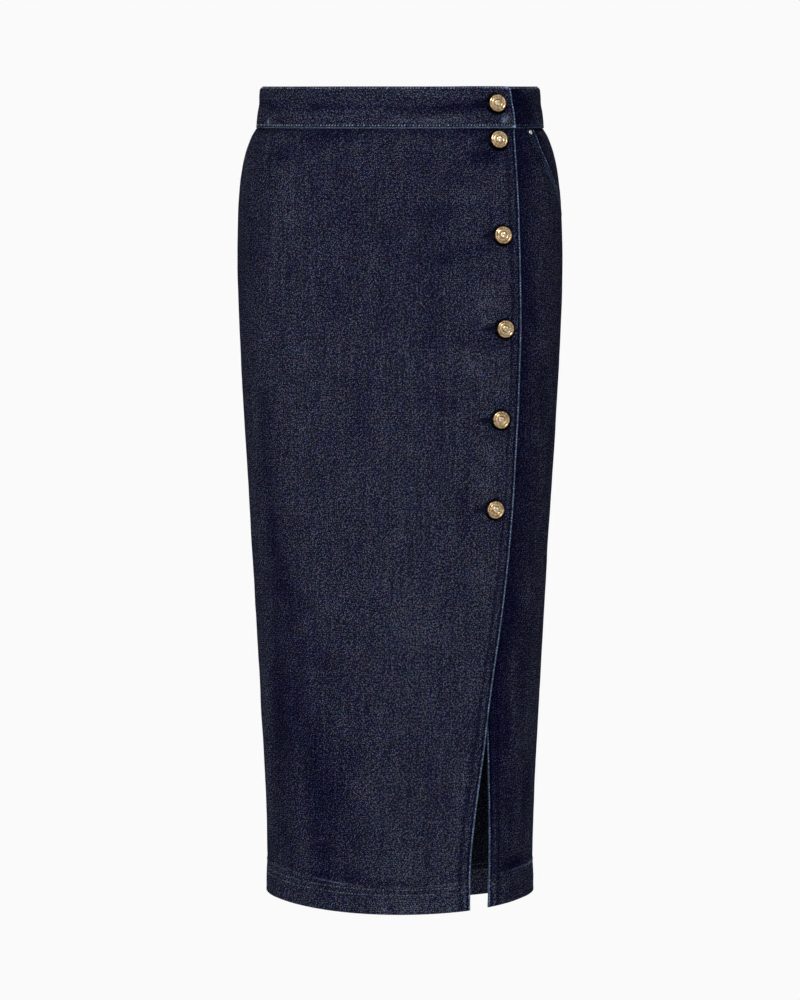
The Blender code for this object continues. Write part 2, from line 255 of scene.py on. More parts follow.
# A stitch's rings: place along it, girth and rise, as shares of half its length and its radius.
STITCH_RINGS = [
    (-1.0, 0.5, -0.9),
    (-0.72, 0.95, -0.05),
    (0.0, 1.0, 0.35),
    (0.72, 0.95, -0.05),
    (1.0, 0.5, -0.9),
]
SEAM_SLANT = 1.2
TOP_SLANT = 0.3
HOLE_PITCH = 0.62
HOLE_REACH = 0.9
EDGE_ROW = 1.0
EDGE_FOLD = 2.8
INNER_ROW = 9.7
POCKET_ROW = 11.2
BAND_TOP_ROW = BAND_TOP - 1.9
BAND_SEAM_ROW = BAND_SEAM + 3.6
HEM_ROWS = (-770.4, -775.8)
# RING_EDGE and RING_FULL bound the painted shadow round each cap, in millimetres from its middle.
RING_EDGE = 12.0
RING_FULL = 10.4
ROW_SINK = 0.36
ROW_WIDTH = 1.0
# ROW_SHADE paints shade into the grooves that the rows of stitches draw in.
ROW_SHADE = 5.0
DIMPLE_DEPTH = 0.9
DIMPLE_RADIUS = 10.5

# Relief of the cloth. A pair of levels is where something starts and where it is full.
# MEAN_RADIUS turns angles into rough distances, and COCKLE_BLEND is an angle in radians.
MEAN_RADIUS = 120.0
COCKLE_BROAD, COCKLE_FINE, COCKLE_UPRIGHT = 0.45, 0.12, 0.3
COCKLE_BLEND = 2.7
# The upper cloth's painted shade: the levels over which it fades out, and how dark it is.
UPPER_SHADE_LEVELS = (-20.0, -420.0)
UPPER_SHADE = 0.12
HEM_STEP = 0.35
ROPE_PITCH = 17
ROPE_HEIGHT = 0.22
RIDGE_RISE = 4.0
RIDGE_REACH = 105
WAIST_FLARE = 0.3
STAND_OFF = 0.5
SLIT_STAND_OFF = 2.2
STAND_OFF_REACH = 26.0
OVER_OPENS, OVER_SHUTS = (-380.0, -560.0), (-700.0, -780.0)
UNDER_OPENS, UNDER_SHUTS = (-300.0, -560.0), (-690.0, -770.0)
# Painted light on the back panels' turn-up.
BACK_HEM_LIGHT = 0.45
HIDDEN_SINK = 1.1
HIDDEN_SINK_REACH = 13.0
BAND_HOLLOW = 0.9

# A distance past which nothing is worn or shaded.
FAR = 50.0

SEED = 7

# Creases and worn places on the cloth. A crease runs between two places on the front or the
# back and bows to its side. It is a ridge where its height is above 0 and a trough under 0.
# Wear above 0 paints it lighter, as worn cloth and as painted light, and wear under 0 paints it
# darker, as painted shade. TROUGH_SHADE adds painted shade to troughs and painted light to ridges.
TROUGH_SHADE = 0.25
FRONT, BACK = -1, 1
Crease = namedtuple("Crease", "side across level to_across to_level bow width height wear")


def creases(side, *rows):
    return [Crease(side, *row) for row in rows]


# A crease's place in this list seeds its unevenness, so new ones go at the end.
CREASES = creases(
    FRONT,
    # Drag lines under the waistband.
    (30, -23, 66, -29, 1, 2.6, 0.7, 0.35),
    (40, -29, 70, -34, 1, 3.4, -1.0, 0.0),
    (72, -26, 99, -25, 0, 2.4, -0.7, 0.0),
    (-136, -58, -104, -36, -3, 9.0, -1.1, -0.4),
    (-104, -34, -44, -30, 2, 7.0, -0.9, -0.5),
    (-128, -70, -122, -82, 0, 9.0, -0.5, -0.4),
    (-88, -47, -30, -40, 2, 8.0, 0.7, 0.0),
    (60, -56, 102, -50, 3, 9.0, -1.3, -0.6),
    (84, -47, 98, -50, 0, 7.0, -0.6, -0.6),
    (2, -52, 34, -60, 2, 12, -0.5, -0.3),
    (46, -66, 62, -72, 0, 10, -0.4, -0.3),
    # The hips.
    (-119, -50, -117, -150, 2, 14, 1.2, 0.1),
    (-137, -90, -139, -190, 2, 11, -0.9, -0.25),
    (-80, -64, -56, -62, 0, 12, -0.5, -0.2),
    (8, -104, 72, -96, -3, 12, -0.8, -0.3),
    (58, -86, 102, -92, 2, 9, 0.7, 0.1),
    (28, -152, 100, -144, 3, 8, -1.2, -0.35),
    (26, -110, 26, -170, 3, 13, -0.4, -0.3),
    (72, -210, 104, -176, 3, 9, 1.2, 0.35),
    (-20, -110, -12, -150, 2, 11, -0.4, -0.2),
    (-62, -80, -48, -130, 2, 12, -0.5, -0.2),
    (-70, -165, -62, -205, 3, 12, -0.6, -0.25),
    (22, -178, 36, -240, 3, 11, -0.7, -0.25),
    (-20, -170, -16, -215, 2, 9, -0.5, -0.25),
    (-14, -226, 42, -232, -3, 8, -0.7, -0.15),
    (56, -228, 108, -236, -3, 6, -1.1, -0.1),
    (50, -243, 101, -290, 5, 9, 1.3, 0.3),
    (70, -246, 104, -256, 2, 9, 0.6, 0.2),
    (-2, -215, 0, -250, 0, 7, 0.5, 0.3),
    (-98, -226, -92, -262, 0, 9, 0.5, 0.2),
    (-46, -262, -42, -340, 3, 10, -0.8, -0.3),
    (34, -280, 54, -304, 2, 10, -0.8, -0.25),
    (42, -318, 34, -340, 3, 7, -0.7, -0.2),
    (-104, -300, -96, -332, 2, 10, 0.7, 0.25),
    (-6, -330, 26, -350, 2, 9, 0.6, 0.25),
    (60, -372, 59, -425, 3, 7, -0.9, -0.3),
    (78, -332, 90, -356, 2, 9, 0.9, 0.35),
    (74, -356, 76, -384, 0, 7, 0.5, 0.3),
    (104, -350, 106, -390, 0, 8, 0.5, 0.35),
    # The long soft folds of the lower front.
    (-4, -405, 4, -432, 0, 10, 0.8, 0.3),
    (4, -480, 14, -545, 4, 22, 1.2, 0.2),
    (74, -450, 84, -468, 0, 10, 0.6, 0.25),
    (66, -530, 78, -600, 3, 12, 0.9, 0.2),
    (-131, -345, -124, -480, -2, 9, -1.2, -0.45),
    (-122, -480, -116, -740, -3, 15, -1.9, -0.35),
    (-104, -560, -102, -640, 0, 12, -0.7, -0.4),
    (-118, -505, -112, -525, 0, 8, -0.4, -0.4),
    (-88, -520, -80, -560, 0, 14, -0.5, -0.2),
    (-76, -655, -70, -705, 2, 14, -1.3, -0.55),
    (-50, -620, -44, -668, 0, 13, -0.7, -0.35),
    (-82, -725, -78, -775, 2, 10, -1.2, -0.6),
    (-60, -752, -40, -764, 0, 9, -1.0, -0.6),
    (-40, -766, 22, -771, 0, 7, -0.5, -0.25),
    (-136, -500, -130, -790, 0, 7, 0.9, 0.1),
    (10, -700, 2, -780, 2, 14, 1.1, 0.1),
    (30, -650, 26, -745, 2, 9, -0.6, 0.0),
    (62, -706, 62, -742, 0, 6, 0.5, 0.35),
    (-30, -790, 26, -790, 0, 11, 0.0, 0.55),
    (10, -790, 82, -788, 0, 11, 0.0, 0.5),
    (60, -640, 62, -770, 0, 8, 0.2, 0.25),
    (58, -756, 66, -790, 0, 8, 0.0, 0.4),
    (104, -440, 100, -470, 0, 7, 0.3, 0.3),
    (-82, -690, -66, -770, 2, 20, -0.3, -0.3),
    (-40, -690, -48, -740, 2, 12, -0.3, -0.35),
    (-112, -560, -108, -700, 0, 12, -0.2, -0.25),
    (-96, -42, -46, -42, 0, 8, -0.2, -0.25),
    (-128, -770, -120, -780, 0, 9, -0.2, -0.25),
    (-146, -105, -151, -195, 0, 8, 0.0, -0.4),
    (-138, -275, -132, -395, 0, 10, -0.2, -0.5),
    (-128, -425, -108, -500, 0, 13, -0.3, -0.6),
    (-104, -500, -98, -570, 0, 9, -0.1, -0.45),
    (-90, -575, -86, -720, 0, 9, -0.2, -0.55),
    (-118, -715, -100, -768, 0, 12, 0.0, -0.45),
    (-135, -735, -120, -752, 0, 9, 0.0, -0.5),
    (-92, -758, -70, -776, 0, 8, 0.0, -0.4),
    (0, -768, 30, -768, 0, 6, 0.0, -0.4),
    (-112, -560, -96, -690, 0, 16, 0.0, -0.15),
    (-52, -680, -48, -705, 0, 8, 0.0, -0.3),
    (-122, -30, -126, -62, 0, 9, 0.0, -0.3),
    # Lighter places.
    (44, -86, 60, -98, 0, 9, 0.2, 0.3),
    (-131, -125, -129, -190, 0, 7, 0.2, 0.3),
    (82, -190, 108, -206, 0, 9, 0.3, 0.4),
    (108, -235, 108, -300, 0, 9, 0.0, 0.35),
    (94, -330, 84, -400, 0, 13, 0.0, 0.3),
    (92, -425, 78, -500, 0, 12, 0.0, 0.3),
    (-10, -475, 40, -490, 0, 14, 0.0, 0.2),
    (-44, -625, -40, -645, 0, 7, 0.0, 0.35),
    (30, -670, 30, -730, 0, 7, 0.0, 0.25),
    # The under panel's creases and shades.
    (122, -26, 132, -82, 0, 10, -0.3, -0.6),
    (130, -18, 145, -58, 0, 10, -0.2, -1.3),
    (130, -224, 152, -256, 3, 9, 1.0, 0.15),
    (134, -190, 136, -226, 0, 8, -0.6, -0.4),
    (150, -300, 146, -400, 4, 10, -0.9, 0.0),
    (111, -530, 110, -630, 2, 6, 1.0, 0.1),
    (106, -590, 104, -650, 2, 8, -1.0, -0.6),
    (116, -470, 112, -540, 2, 9, -0.4, -0.4),
    (104, -650, 108, -740, 0, 9, -0.3, -0.4),
    (125, -640, 122, -790, 3, 7, -1.3, 0.0),
    (100, -758, 126, -760, 0, 8, -1.2, -1.5),
    (146, -258, 134, -320, 0, 12, 0, -0.5),
    (132, -330, 130, -480, 0, 11, 0, -0.5),
    (130, -480, 120, -640, 0, 11, 0, -0.5),
    (118, -650, 106, -738, 0, 9, 0, -0.6),
    # Shades and worn spots all over the front.
    (-125, -474, -91, -507, 3, 12, -0.3, -0.4),
    (-75, -525, -57, -598, 0, 14, 0, -0.4),
    (-128, -560, -122, -650, 0, 16, 0, -0.3),
    (-85, -590, -75, -740, 4, 22, 0, -0.35),
    (-132, -470, -122, -500, 0, 12, 0, -0.4),
    (102, -742, 112, -743, 0, 8, 0, -0.9),
    (112, -775, 114, -790, 0, 8, 0, -0.8),
    (131, -655, 125, -715, 0, 7, 0, -0.6),
    (80, -211, 92, -215, 0, 8, 0, 0.9),
    (84, -306, 92, -310, 0, 9, 0, 0.8),
    (78, -400, 88, -403, 0, 9, 0, 0.7),
    (138, -24, 147, -36, 0, 5, 0, -0.9),
    (20, -26, 85, -26, 0, 6, 0, -0.35),
    (-155, -45, -160, -90, 2, 5, 0, 0.5),
    (113, -768, 133, -765, 1, 2.5, 0.8, 0.9),
    (90, -775, 94, -772, 0, 3, 0.1, 1.2),
    (95, -768, 95, -793, 0, 2.0, 0.2, 0.6),
) + creases(
    BACK,
    # The back, which has the like.
    (-70, -34, -20, -30, 2, 6, -0.9, 0.0),
    (34, -30, 92, -38, 2, 7, -1.0, 0.0),
    (-96, -60, -40, -78, -5, 11, -0.8, 0.0),
    (46, -70, 108, -60, 4, 10, -0.7, 0.0),
    (-92, -228, -14, -246, 8, 11, -1.5, 0.0),
    (14, -244, 98, -230, 8, 10, -1.3, 0.0),
    (-84, -254, -16, -272, 8, 9, 0.9, 0.15),
    (18, -270, 84, -256, 7, 9, 0.8, 0.15),
    (-60, -330, 20, -352, -6, 12, -0.9, 0.0),
    (4, -396, 76, -380, 6, 11, -0.8, 0.0),
    (-102, -440, -96, -780, -5, 15, -2.0, 0.0),
    (98, -470, 104, -785, 5, 14, -1.8, 0.0),
    (-48, -500, -40, -700, 4, 20, 1.3, 0.1),
    (46, -540, 42, -720, -4, 18, 1.1, 0.1),
    (20, -640, 12, -770, 3, 13, -0.9, 0.0),
) + creases(
    FRONT,
    # The hips' sides.
    (-158, -96, -163, -190, 3, 12, -0.9, 0.0),
) + creases(
    BACK,
    (150, -80, 160, -150, 4, 12, -0.9, 0.0),
    (-152, -90, -160, -170, -4, 12, -1.0, 0.0),
)
# The band's creases, worn places and painted shades, given as in CREASES.
BAND_CREASES = creases(
    FRONT,
    (4, -2, 60, 0, -2, 3.6, -0.7, -0.3),
    (44, 0, 90, 1, -2, 4.2, -0.8, -0.9),
    (-96, 1, -44, -1, 0, 5, -0.6, -0.3),
    (-40, -14, 76, -14, 0, 4.6, 0.3, 0.25),
    (-8, 15, 44, 15, 0, 5, 0.3, 0.25),
    (99, -14, 110, -9, 0, 5.5, 0.3, 1.6),
    (109, 20, 101, 20, 0, 2.4, 0.2, 1.8),
    (115, -20, 110, -18, 0, 2.2, 0.1, 2.0),
    (-134, -18, -130, -10, 0, 2.6, 0.2, 1.6),
    (-92, 0, -80, -2, 0, 5, -0.2, -0.3),
    (118, 12, 134, 17, 0, 5, 0.0, 0.5),
    (136, 6, 139, -16, 0, 3.5, 0.0, 1.0),
    (-134, 4, -127, -2, 0, 6, -0.3, -0.5),
) + creases(
    BACK,
    (-60, 3, -20, 1, 2, 5, -0.6, 0.0),
    (30, 2, 88, 4, -2, 5, -0.7, 0.0),
) + creases(
    FRONT,
    (120, 17, 134, 17, 0, 3.5, 0, 0.7),
    (109, 2, 110, -6, 0, 5, 0, -0.7),
    (-124, -17, -112, -17, 0, 4, 0, -0.6),
    (15, -13, 78, -13, 0, 3.5, 0, 0.5),
)

# ---------------------------------------------------------------- the form


def columns_at(table, level):
    """The table's columns at an array of levels, on a smooth curve through its rows."""
    rows = np.array(sorted(table), float)
    knots = rows[:, 0]
    last = len(rows) - 1
    index = np.arange(last + 1)
    before, after = np.maximum(index - 1, 0), np.minimum(index + 1, last)
    slopes = (rows[after] - rows[before]) / (knots[after] - knots[before])[:, None]
    level = np.clip(np.asarray(level, float), knots[0], knots[-1])
    low = np.clip(np.searchsorted(knots, level, side="right") - 1, 0, last - 1)
    span = (knots[low + 1] - knots[low])[..., None]
    t = (level - knots[low])[..., None] / span
    values = (
        rows[low] * (2 * t**3 - 3 * t**2 + 1)
        + slopes[low] * span * (t**3 - 2 * t**2 + t)
        + rows[low + 1] * (3 * t**2 - 2 * t**3)
        + slopes[low + 1] * span * (t**3 - t**2)
    )
    return np.moveaxis(values, -1, 0)[1:]


def ease(value, start, end):
    """0 before start, 1 past end, smooth between them."""
    t = np.clip((value - start) / (end - start), 0.0, 1.0)
    return t * t * (3 - 2 * t)


def bell(distance, width):
    """1 at no distance, and less to each side."""
    return np.exp(-((distance / width) ** 2))


def unit(vectors):
    """The same directions, with a length of 1."""
    return vectors / np.linalg.norm(vectors, axis=-1, keepdims=True)


def paired(angle, level):
    """Angles and levels as two arrays of one shape."""
    return np.broadcast_arrays(np.asarray(angle, float), np.asarray(level, float))


def base_points(table, angle, level):
    """Points of the outer face of the lower layer."""
    angle, level = paired(angle, level)
    half, front, back = columns_at(table, level)
    sine, cosine = np.sin(np.radians(angle)), np.cos(np.radians(angle))
    depth = np.where(cosine > 0, front, back)
    power = np.where(cosine > 0, FRONT_POWER, BACK_POWER)
    reach = ((np.abs(sine) / half) ** power + (np.abs(cosine) / depth) ** power) ** (-1 / power)
    x, y = reach * sine, -reach * cosine
    roundness = np.sqrt(np.maximum(1 - (x / half) ** 2, 0.0))
    waist_rise = np.where(y < 0, WAIST_TIP * y, BACK_RISE * y / back)
    down = ease(level, WAIST, HEM)
    z = level + waist_rise * (1 - down) - HEM_DIP * roundness**HEM_DIP_POWER * down
    return np.stack((x, y, z), -1)


def frames_at(table, angle, level):
    """The base points with the directions across, up and out of the cloth there."""
    turn, climb = 0.25, 0.5
    across = base_points(table, angle + turn, level) - base_points(table, angle - turn, level)
    up = base_points(table, angle, level + climb) - base_points(table, angle, level - climb)
    out = unit(np.cross(across, up))
    up = unit(up - (up * out).sum(-1, keepdims=True) * out)
    return base_points(table, angle, level), np.cross(up, out), up, out


def angle_across(table, level, across):
    """The front angle whose distance from the centre line is this."""
    half, front, _ = columns_at(table, level)
    share = np.minimum(np.abs(across) / half, 1.0)
    depth = front * (1 - share**FRONT_POWER) ** (1 / FRONT_POWER)
    return np.degrees(np.arctan2(across, depth))


def angle_before_side(level, reach):
    """The angle that lies this far in front of the wearer's left side seam."""
    half, front, _ = columns_at(BODY, level)
    share = np.minimum(reach / front, 1.0)
    across = half * (1 - share**FRONT_POWER) ** (1 / FRONT_POWER)
    return np.degrees(np.arctan2(across, reach))


def half_gap(level):
    """Half a side seam's gap, as an angle."""
    return np.degrees(SEWN_GAP / 2 / columns_at(BODY, level)[0])


def half_gap_back(level):
    """Half the centre-back seam's gap, as an angle."""
    return np.degrees(SEWN_GAP / 2 / columns_at(BODY, level)[2])


def round_body(angle):
    """Roughly how many millimetres an angle is round the body from the centre front."""
    return np.radians(angle) * MEAN_RADIUS


def along_line(points):
    """How far along a line each of its points lies."""
    steps = np.linalg.norm(np.diff(points, axis=0), axis=1)
    return np.concatenate(([0.0], np.cumsum(steps)))


def at_places(places, along, values):
    """A line's values at places along it."""
    return np.stack([np.interp(places, along, column) for column in values.T], -1)


def arc_lengths(table, angle, level):
    """How far each place of a grid's rows lies round the body from the centre front."""
    turns = np.arange(-200.0, 561.0)
    lengths = np.empty(angle.shape)
    for row, (angles, height) in enumerate(zip(angle, level[:, 0])):
        along = along_line(base_points(table, turns, height)[:, :2])
        along -= np.interp(0.0, turns, along)
        lengths[row] = np.interp(angles, turns, along)
    return lengths


# ---------------------------------------------------------------- borders of the pieces


def over_edge(level):
    return angle_across(BODY, level, columns_at(OVER_EDGE, level)[0])


def under_edge(level):
    return angle_across(BODY, level, columns_at(UNDER_EDGE, level)[0])


def pocket_mouth(level):
    """The mouth's edge, and the side seam below it."""
    mouth = np.where(level > MOUTH_BOTTOM, columns_at(POCKET, level)[0], 0.0)
    return angle_before_side(level, np.maximum(mouth, 0.0)) - half_gap(level)


def hip_front_edge(level):
    return angle_before_side(level, columns_at(POCKET, level)[1])


def left_side(level):
    return 90 - half_gap(level)


def right_side(level):
    return -90 + half_gap(level)


def back_left_side(level):
    return 90 + half_gap(level)


def back_left_centre(level):
    return 180 - half_gap_back(level)


def back_right_centre(level):
    return 180 + half_gap_back(level)


def back_right_side(level):
    return 270 - half_gap(level)


def bag_front_edge(level):
    return angle_across(BODY, level, columns_at(BAG_END, level)[0])


def bag_back_edge(level):
    beside_hip = columns_at(POCKET, level)[1] + SEAM_GAP
    below_hip = columns_at(BAG_END, level)[1]
    return angle_before_side(level, np.where(level > HIP_BOTTOM, beside_hip, below_hip))


def band_under_end(level):
    return angle_across(BAND, level, columns_at(BAND_UNDER_EDGE, level)[0])


def band_over_end(level):
    return 360 + angle_across(BAND, level, columns_at(BAND_OVER_EDGE, level)[0])


# ---------------------------------------------------------------- lifts of the layers


def over_lift(angle, level):
    """How far the over panel's outer face stands off the base."""
    starts = angle_across(BODY, level, LIFT_STARTS)
    full = angle_across(BODY, level, LIFT_FULL)
    height = LIFT_AT_WAIST + (OVER_LIFT - LIFT_AT_WAIST) * ease(level, WAIST, WAIST_LIFT_ENDS)
    height = height + (SLIT_LIFT - OVER_LIFT) * ease(level, SLIT_LIFT_STARTS, SLIT_LIFT_ENDS)
    return ease(angle, starts, full) * height


def band_lift(angle, level):
    """The band's over end, past a whole turn, stands off its under end."""
    starts = 360 + angle_across(BAND, level, LIFT_STARTS)
    full = 360 + angle_across(BAND, level, LIFT_FULL)
    return BAND_LIFT * ease(angle, starts, full)


def hip_lift(angle, level):
    """The hip piece comes out to the side seam above the mouth's lower end."""
    inner = angle_before_side(level, HIP_RAMP)
    fades = 1 - ease(level, HIP_RAMP_FADES, HIP_RAMP_ENDS)
    return -POCKET_SINK * (1 - fades * ease(angle, inner, 90.0))


def bag_lift(angle, level):
    """The bag lies one layer under the panel."""
    return -POCKET_SINK + 0 * level


def no_lift(angle, level):
    return 0 * level


# ---------------------------------------------------------------- relief of the cloth


def smooth_noise(u, v, size, seed):
    """Soft random heights from -1 to 1 over places in millimetres."""
    side = 256
    lattice = np.random.RandomState(seed).uniform(-1, 1, (side, side))
    u, v = u / size, v / size
    column, row = np.floor(u).astype(int), np.floor(v).astype(int)
    s, t = u - column, v - row
    s, t = s * s * (3 - 2 * s), t * t * (3 - 2 * t)
    left, right = column % side, (column + 1) % side
    low, high = row % side, (row + 1) % side
    below = lattice[low, left] * (1 - s) + lattice[low, right] * s
    above = lattice[high, left] * (1 - s) + lattice[high, right] * s
    return below * (1 - t) + above * t


def place_on(table, side, across, level):
    """A base point on the front or the back by its distance across."""
    angle = angle_across(table, level, across)
    if side == FRONT:
        return base_points(table, angle, level)
    half, _, back = columns_at(table, level)
    share = np.minimum(np.abs(across) / half, 1.0)
    depth = back * (1 - share**BACK_POWER) ** (1 / BACK_POWER)
    return base_points(table, np.degrees(np.arctan2(across, -depth)), level)


def crease_line(table, crease, steps=8):
    """The crease's points in space, bowed to its side."""
    t = np.linspace(0, 1, steps + 1)
    across = crease.across + (crease.to_across - crease.across) * t
    level = crease.level + (crease.to_level - crease.level) * t
    run = np.array((crease.to_across - crease.across, crease.to_level - crease.level), float)
    normal = np.array((-run[1], run[0])) / np.linalg.norm(run)
    bow = crease.bow * 4 * t * (1 - t)
    return place_on(table, crease.side, across + bow * normal[0], level + bow * normal[1])


def near_line(points, line):
    """Each point's distance to a line of points, and how far along it the nearest place is."""
    nearest = np.full(points.shape[:-1], np.inf)
    along = np.zeros(points.shape[:-1])
    last = len(line) - 1
    for index, (start, end) in enumerate(zip(line, line[1:])):
        run = end - start
        t = np.clip(((points - start) @ run) / (run @ run), 0, 1)
        gap = np.linalg.norm(points - start - t[..., None] * run, axis=-1)
        closer = gap < nearest
        nearest = np.where(closer, gap, nearest)
        along = np.where(closer, (index + t) / last, along)
    return nearest, along


def creased(points, table, creases):
    """The heights, and the wear and painted light and shade, that creases give the base's points.
    """
    height, wear = np.zeros(points.shape[:-1]), np.zeros(points.shape[:-1])
    for number, crease in enumerate(creases):
        gap, along = near_line(points, crease_line(table, crease))
        taper = np.sin(np.pi * np.clip(along, 0.02, 0.98)) ** 0.6
        uneven = 1 + 0.3 * smooth_noise(along * 4, along * 0 + number, 1.0, SEED)
        shape = bell(gap, crease.width) * taper * uneven
        height += crease.height * shape
        # Besides its own wear, each crease gets painted shade in its trough and painted light on
        # its ridge.
        wear += (crease.wear + TROUGH_SHADE * crease.height) * shape
    return height, wear


def cockle(points):
    """The slight unevenness of all the cloth, the same on both sides of the centre back."""
    x, y, z = np.moveaxis(points, -1, 0)
    turn = np.arctan2(x, -y)

    def uneven(around):
        broad = smooth_noise(around, z, 34.0, SEED + 1)
        fine = smooth_noise(around, z, 11.0, SEED + 2)
        upright = smooth_noise(around, z / 7, 16.0, SEED + 3)
        return COCKLE_BROAD * broad + COCKLE_FINE * fine + COCKLE_UPRIGHT * upright

    at_centre_back = ease(np.abs(turn), COCKLE_BLEND, np.pi)
    centre_back = np.full_like(turn, MEAN_RADIUS * np.pi)
    return (1 - at_centre_back) * uneven(turn * MEAN_RADIUS) + at_centre_back * uneven(centre_back)


def button_table(button):
    return BAND if button.on_band else BODY


def button_centres(table):
    """Base points of the buttons on the body or on the band."""
    worn = [button for button in BUTTONS if button.on_band == (table is BAND)]
    return [place_on(table, FRONT, button.across, button.level) for button in worn]


def dimples(points, table):
    """The cloth draws in round each button, with painted shade beside its buttonhole and below it.
    """
    height, wear = np.zeros(points.shape[:-1]), np.zeros(points.shape[:-1])
    for centre in button_centres(table):
        gap = np.linalg.norm(points - centre, axis=-1)
        height -= DIMPLE_DEPTH * bell(gap, DIMPLE_RADIUS)
        across = points[..., 0] - centre[0]
        up = points[..., 2] - centre[2]
        front = points[..., 1] < 0
        # Painted shade: a dark pinch beside the buttonhole, also drawn in, and a painted shadow
        # below.
        pinch = np.exp(-(((across + 13.0) / 6.5) ** 2) - ((up / 4.0) ** 2))
        below = np.exp(-(((across + 3.0) / 15.0) ** 2) - (((up + 9.0) / 7.0) ** 2))
        wear -= front * (1.4 * pinch + 0.4 * below)
        height -= front * 0.7 * pinch
    return height, wear


def to_button(base, table):
    """The distance to the nearest button."""
    nearest = np.full(base.shape[:-1], FAR)
    for centre in button_centres(table):
        nearest = np.minimum(nearest, np.linalg.norm(base - centre, axis=-1))
    return nearest


def groove(distance, depth=ROW_SINK, width=ROW_WIDTH):
    """A row of stitches draws the cloth in."""
    return -depth * bell(distance, width)


def edge_rows(distance, rows):
    """The grooves of the rows of stitches that follow an edge."""
    return sum(groove(distance - row) for row in rows)


def puckers(along, distance, reach, height, pitch, seed):
    """Small uneven ripples across a sewn edge."""
    phase = 2 * np.pi * along / pitch + 2.4 * smooth_noise(along, 0 * along, pitch * 2, seed)
    strength = 0.6 + 0.4 * smooth_noise(along, 0 * along, pitch * 3, seed + 1)
    return height * strength * np.sin(phase) * bell(distance, reach)


def side_gap(angle, border, level, table=BODY):
    """Roughly how many millimetres a place lies from a border of its piece."""
    point = base_points(table, angle, level)
    edge = base_points(table, border, level)
    return np.linalg.norm((point - edge)[..., :2], axis=-1)


def body_relief(points):
    """What all the cloth of the body has. Its upper part is painted a little darker, as painted
    shade.
    """
    height, wear = creased(points, BODY, CREASES)
    drawn, button_shade = dimples(points, BODY)
    upper = 1 - ease(points[..., 2], *UPPER_SHADE_LEVELS)
    return height + cockle(points) + drawn, wear + button_shade - UPPER_SHADE * upper


def hem_relief(along, level):
    """The turn-up's step, its two rows of stitches and its diagonal roping."""
    height = HEM_STEP * ease(level, TURN_UP_TOP + 2.0, TURN_UP_TOP - 1.0)
    height = height + edge_rows(level, HEM_ROWS)
    uneven = 2 * smooth_noise(along, level, 40.0, SEED + 5)
    rope = np.sin(2 * np.pi * (along + 0.9 * level) / ROPE_PITCH + uneven)
    inside = ease(level, TURN_UP_TOP + 4, TURN_UP_TOP - 6) * ease(level, HEM, HEM + 8)
    return height + ROPE_HEIGHT * rope * inside


def hem_ridge(along):
    """The level where the turn-up's top edge shows as a line, higher towards the sides."""
    return TURN_UP_TOP + RIDGE_RISE * np.minimum(np.abs(along) / RIDGE_REACH, 1.05) ** 2


def waist_relief(along, level):
    """The body's top edge is eased into the band, and is as wide as it at the sides."""
    side = np.abs(np.sin(along / MEAN_RADIUS)) ** 8
    flare = WAIST_FLARE * side * bell(WAIST - level, 3.5)
    return flare + puckers(along, level - WAIST, reach=7.0, height=0.16, pitch=9.0, seed=SEED + 8)


def finished(height, wear, along, level):
    """A panel's relief with its hem, and its waist, painted darker as the band's shadow."""
    # Painted shadow of the band along the waist.
    wear = wear - 0.7 * bell(WAIST - level, 5.0)
    above = level - hem_ridge(along)
    # Painted light on the turn-up's ridge line, and painted shade just above it.
    ridge = bell(above, 1.5)
    shade = bell(above - 4.5, 3.0) * (0.6 + 0.4 * smooth_noise(along, level, 30.0, SEED + 32))
    height = height + hem_relief(along, level) + waist_relief(along, level)
    return height + 0.35 * ridge - 0.3 * shade, wear + 0.3 * ridge - 0.55 * shade


Cloth = namedtuple("Cloth", "table lift relief")


def seam_relief(gap):
    """A sewn seam: a fine line drawn in, and the turnings' soft ridge beside it."""
    return -0.7 * bell(gap, 1.4) + 0.25 * bell(gap - 7, 6)


def over_relief(angle, level, points):
    """The over panel: its placket edge stands off and has two rows of stitches."""
    height, wear = body_relief(points)
    along = round_body(angle)
    edge = side_gap(angle, over_edge(level), level)
    side = side_gap(angle, right_side(level), level)
    opens = ease(level, *OVER_OPENS) * (1 - ease(level, *OVER_SHUTS))
    rows = edge_rows(edge, (EDGE_FOLD, INNER_ROW))
    stands_off = STAND_OFF + SLIT_STAND_OFF * opens
    height = height + stands_off * (1 - ease(edge, 0.0, STAND_OFF_REACH)) + rows
    ripples = puckers(level, edge - 5, reach=5.0, height=0.16, pitch=7.5, seed=SEED + 11)
    height = height + ripples + seam_relief(side)
    return finished(height, wear + ROW_SHADE * rows, along, level)


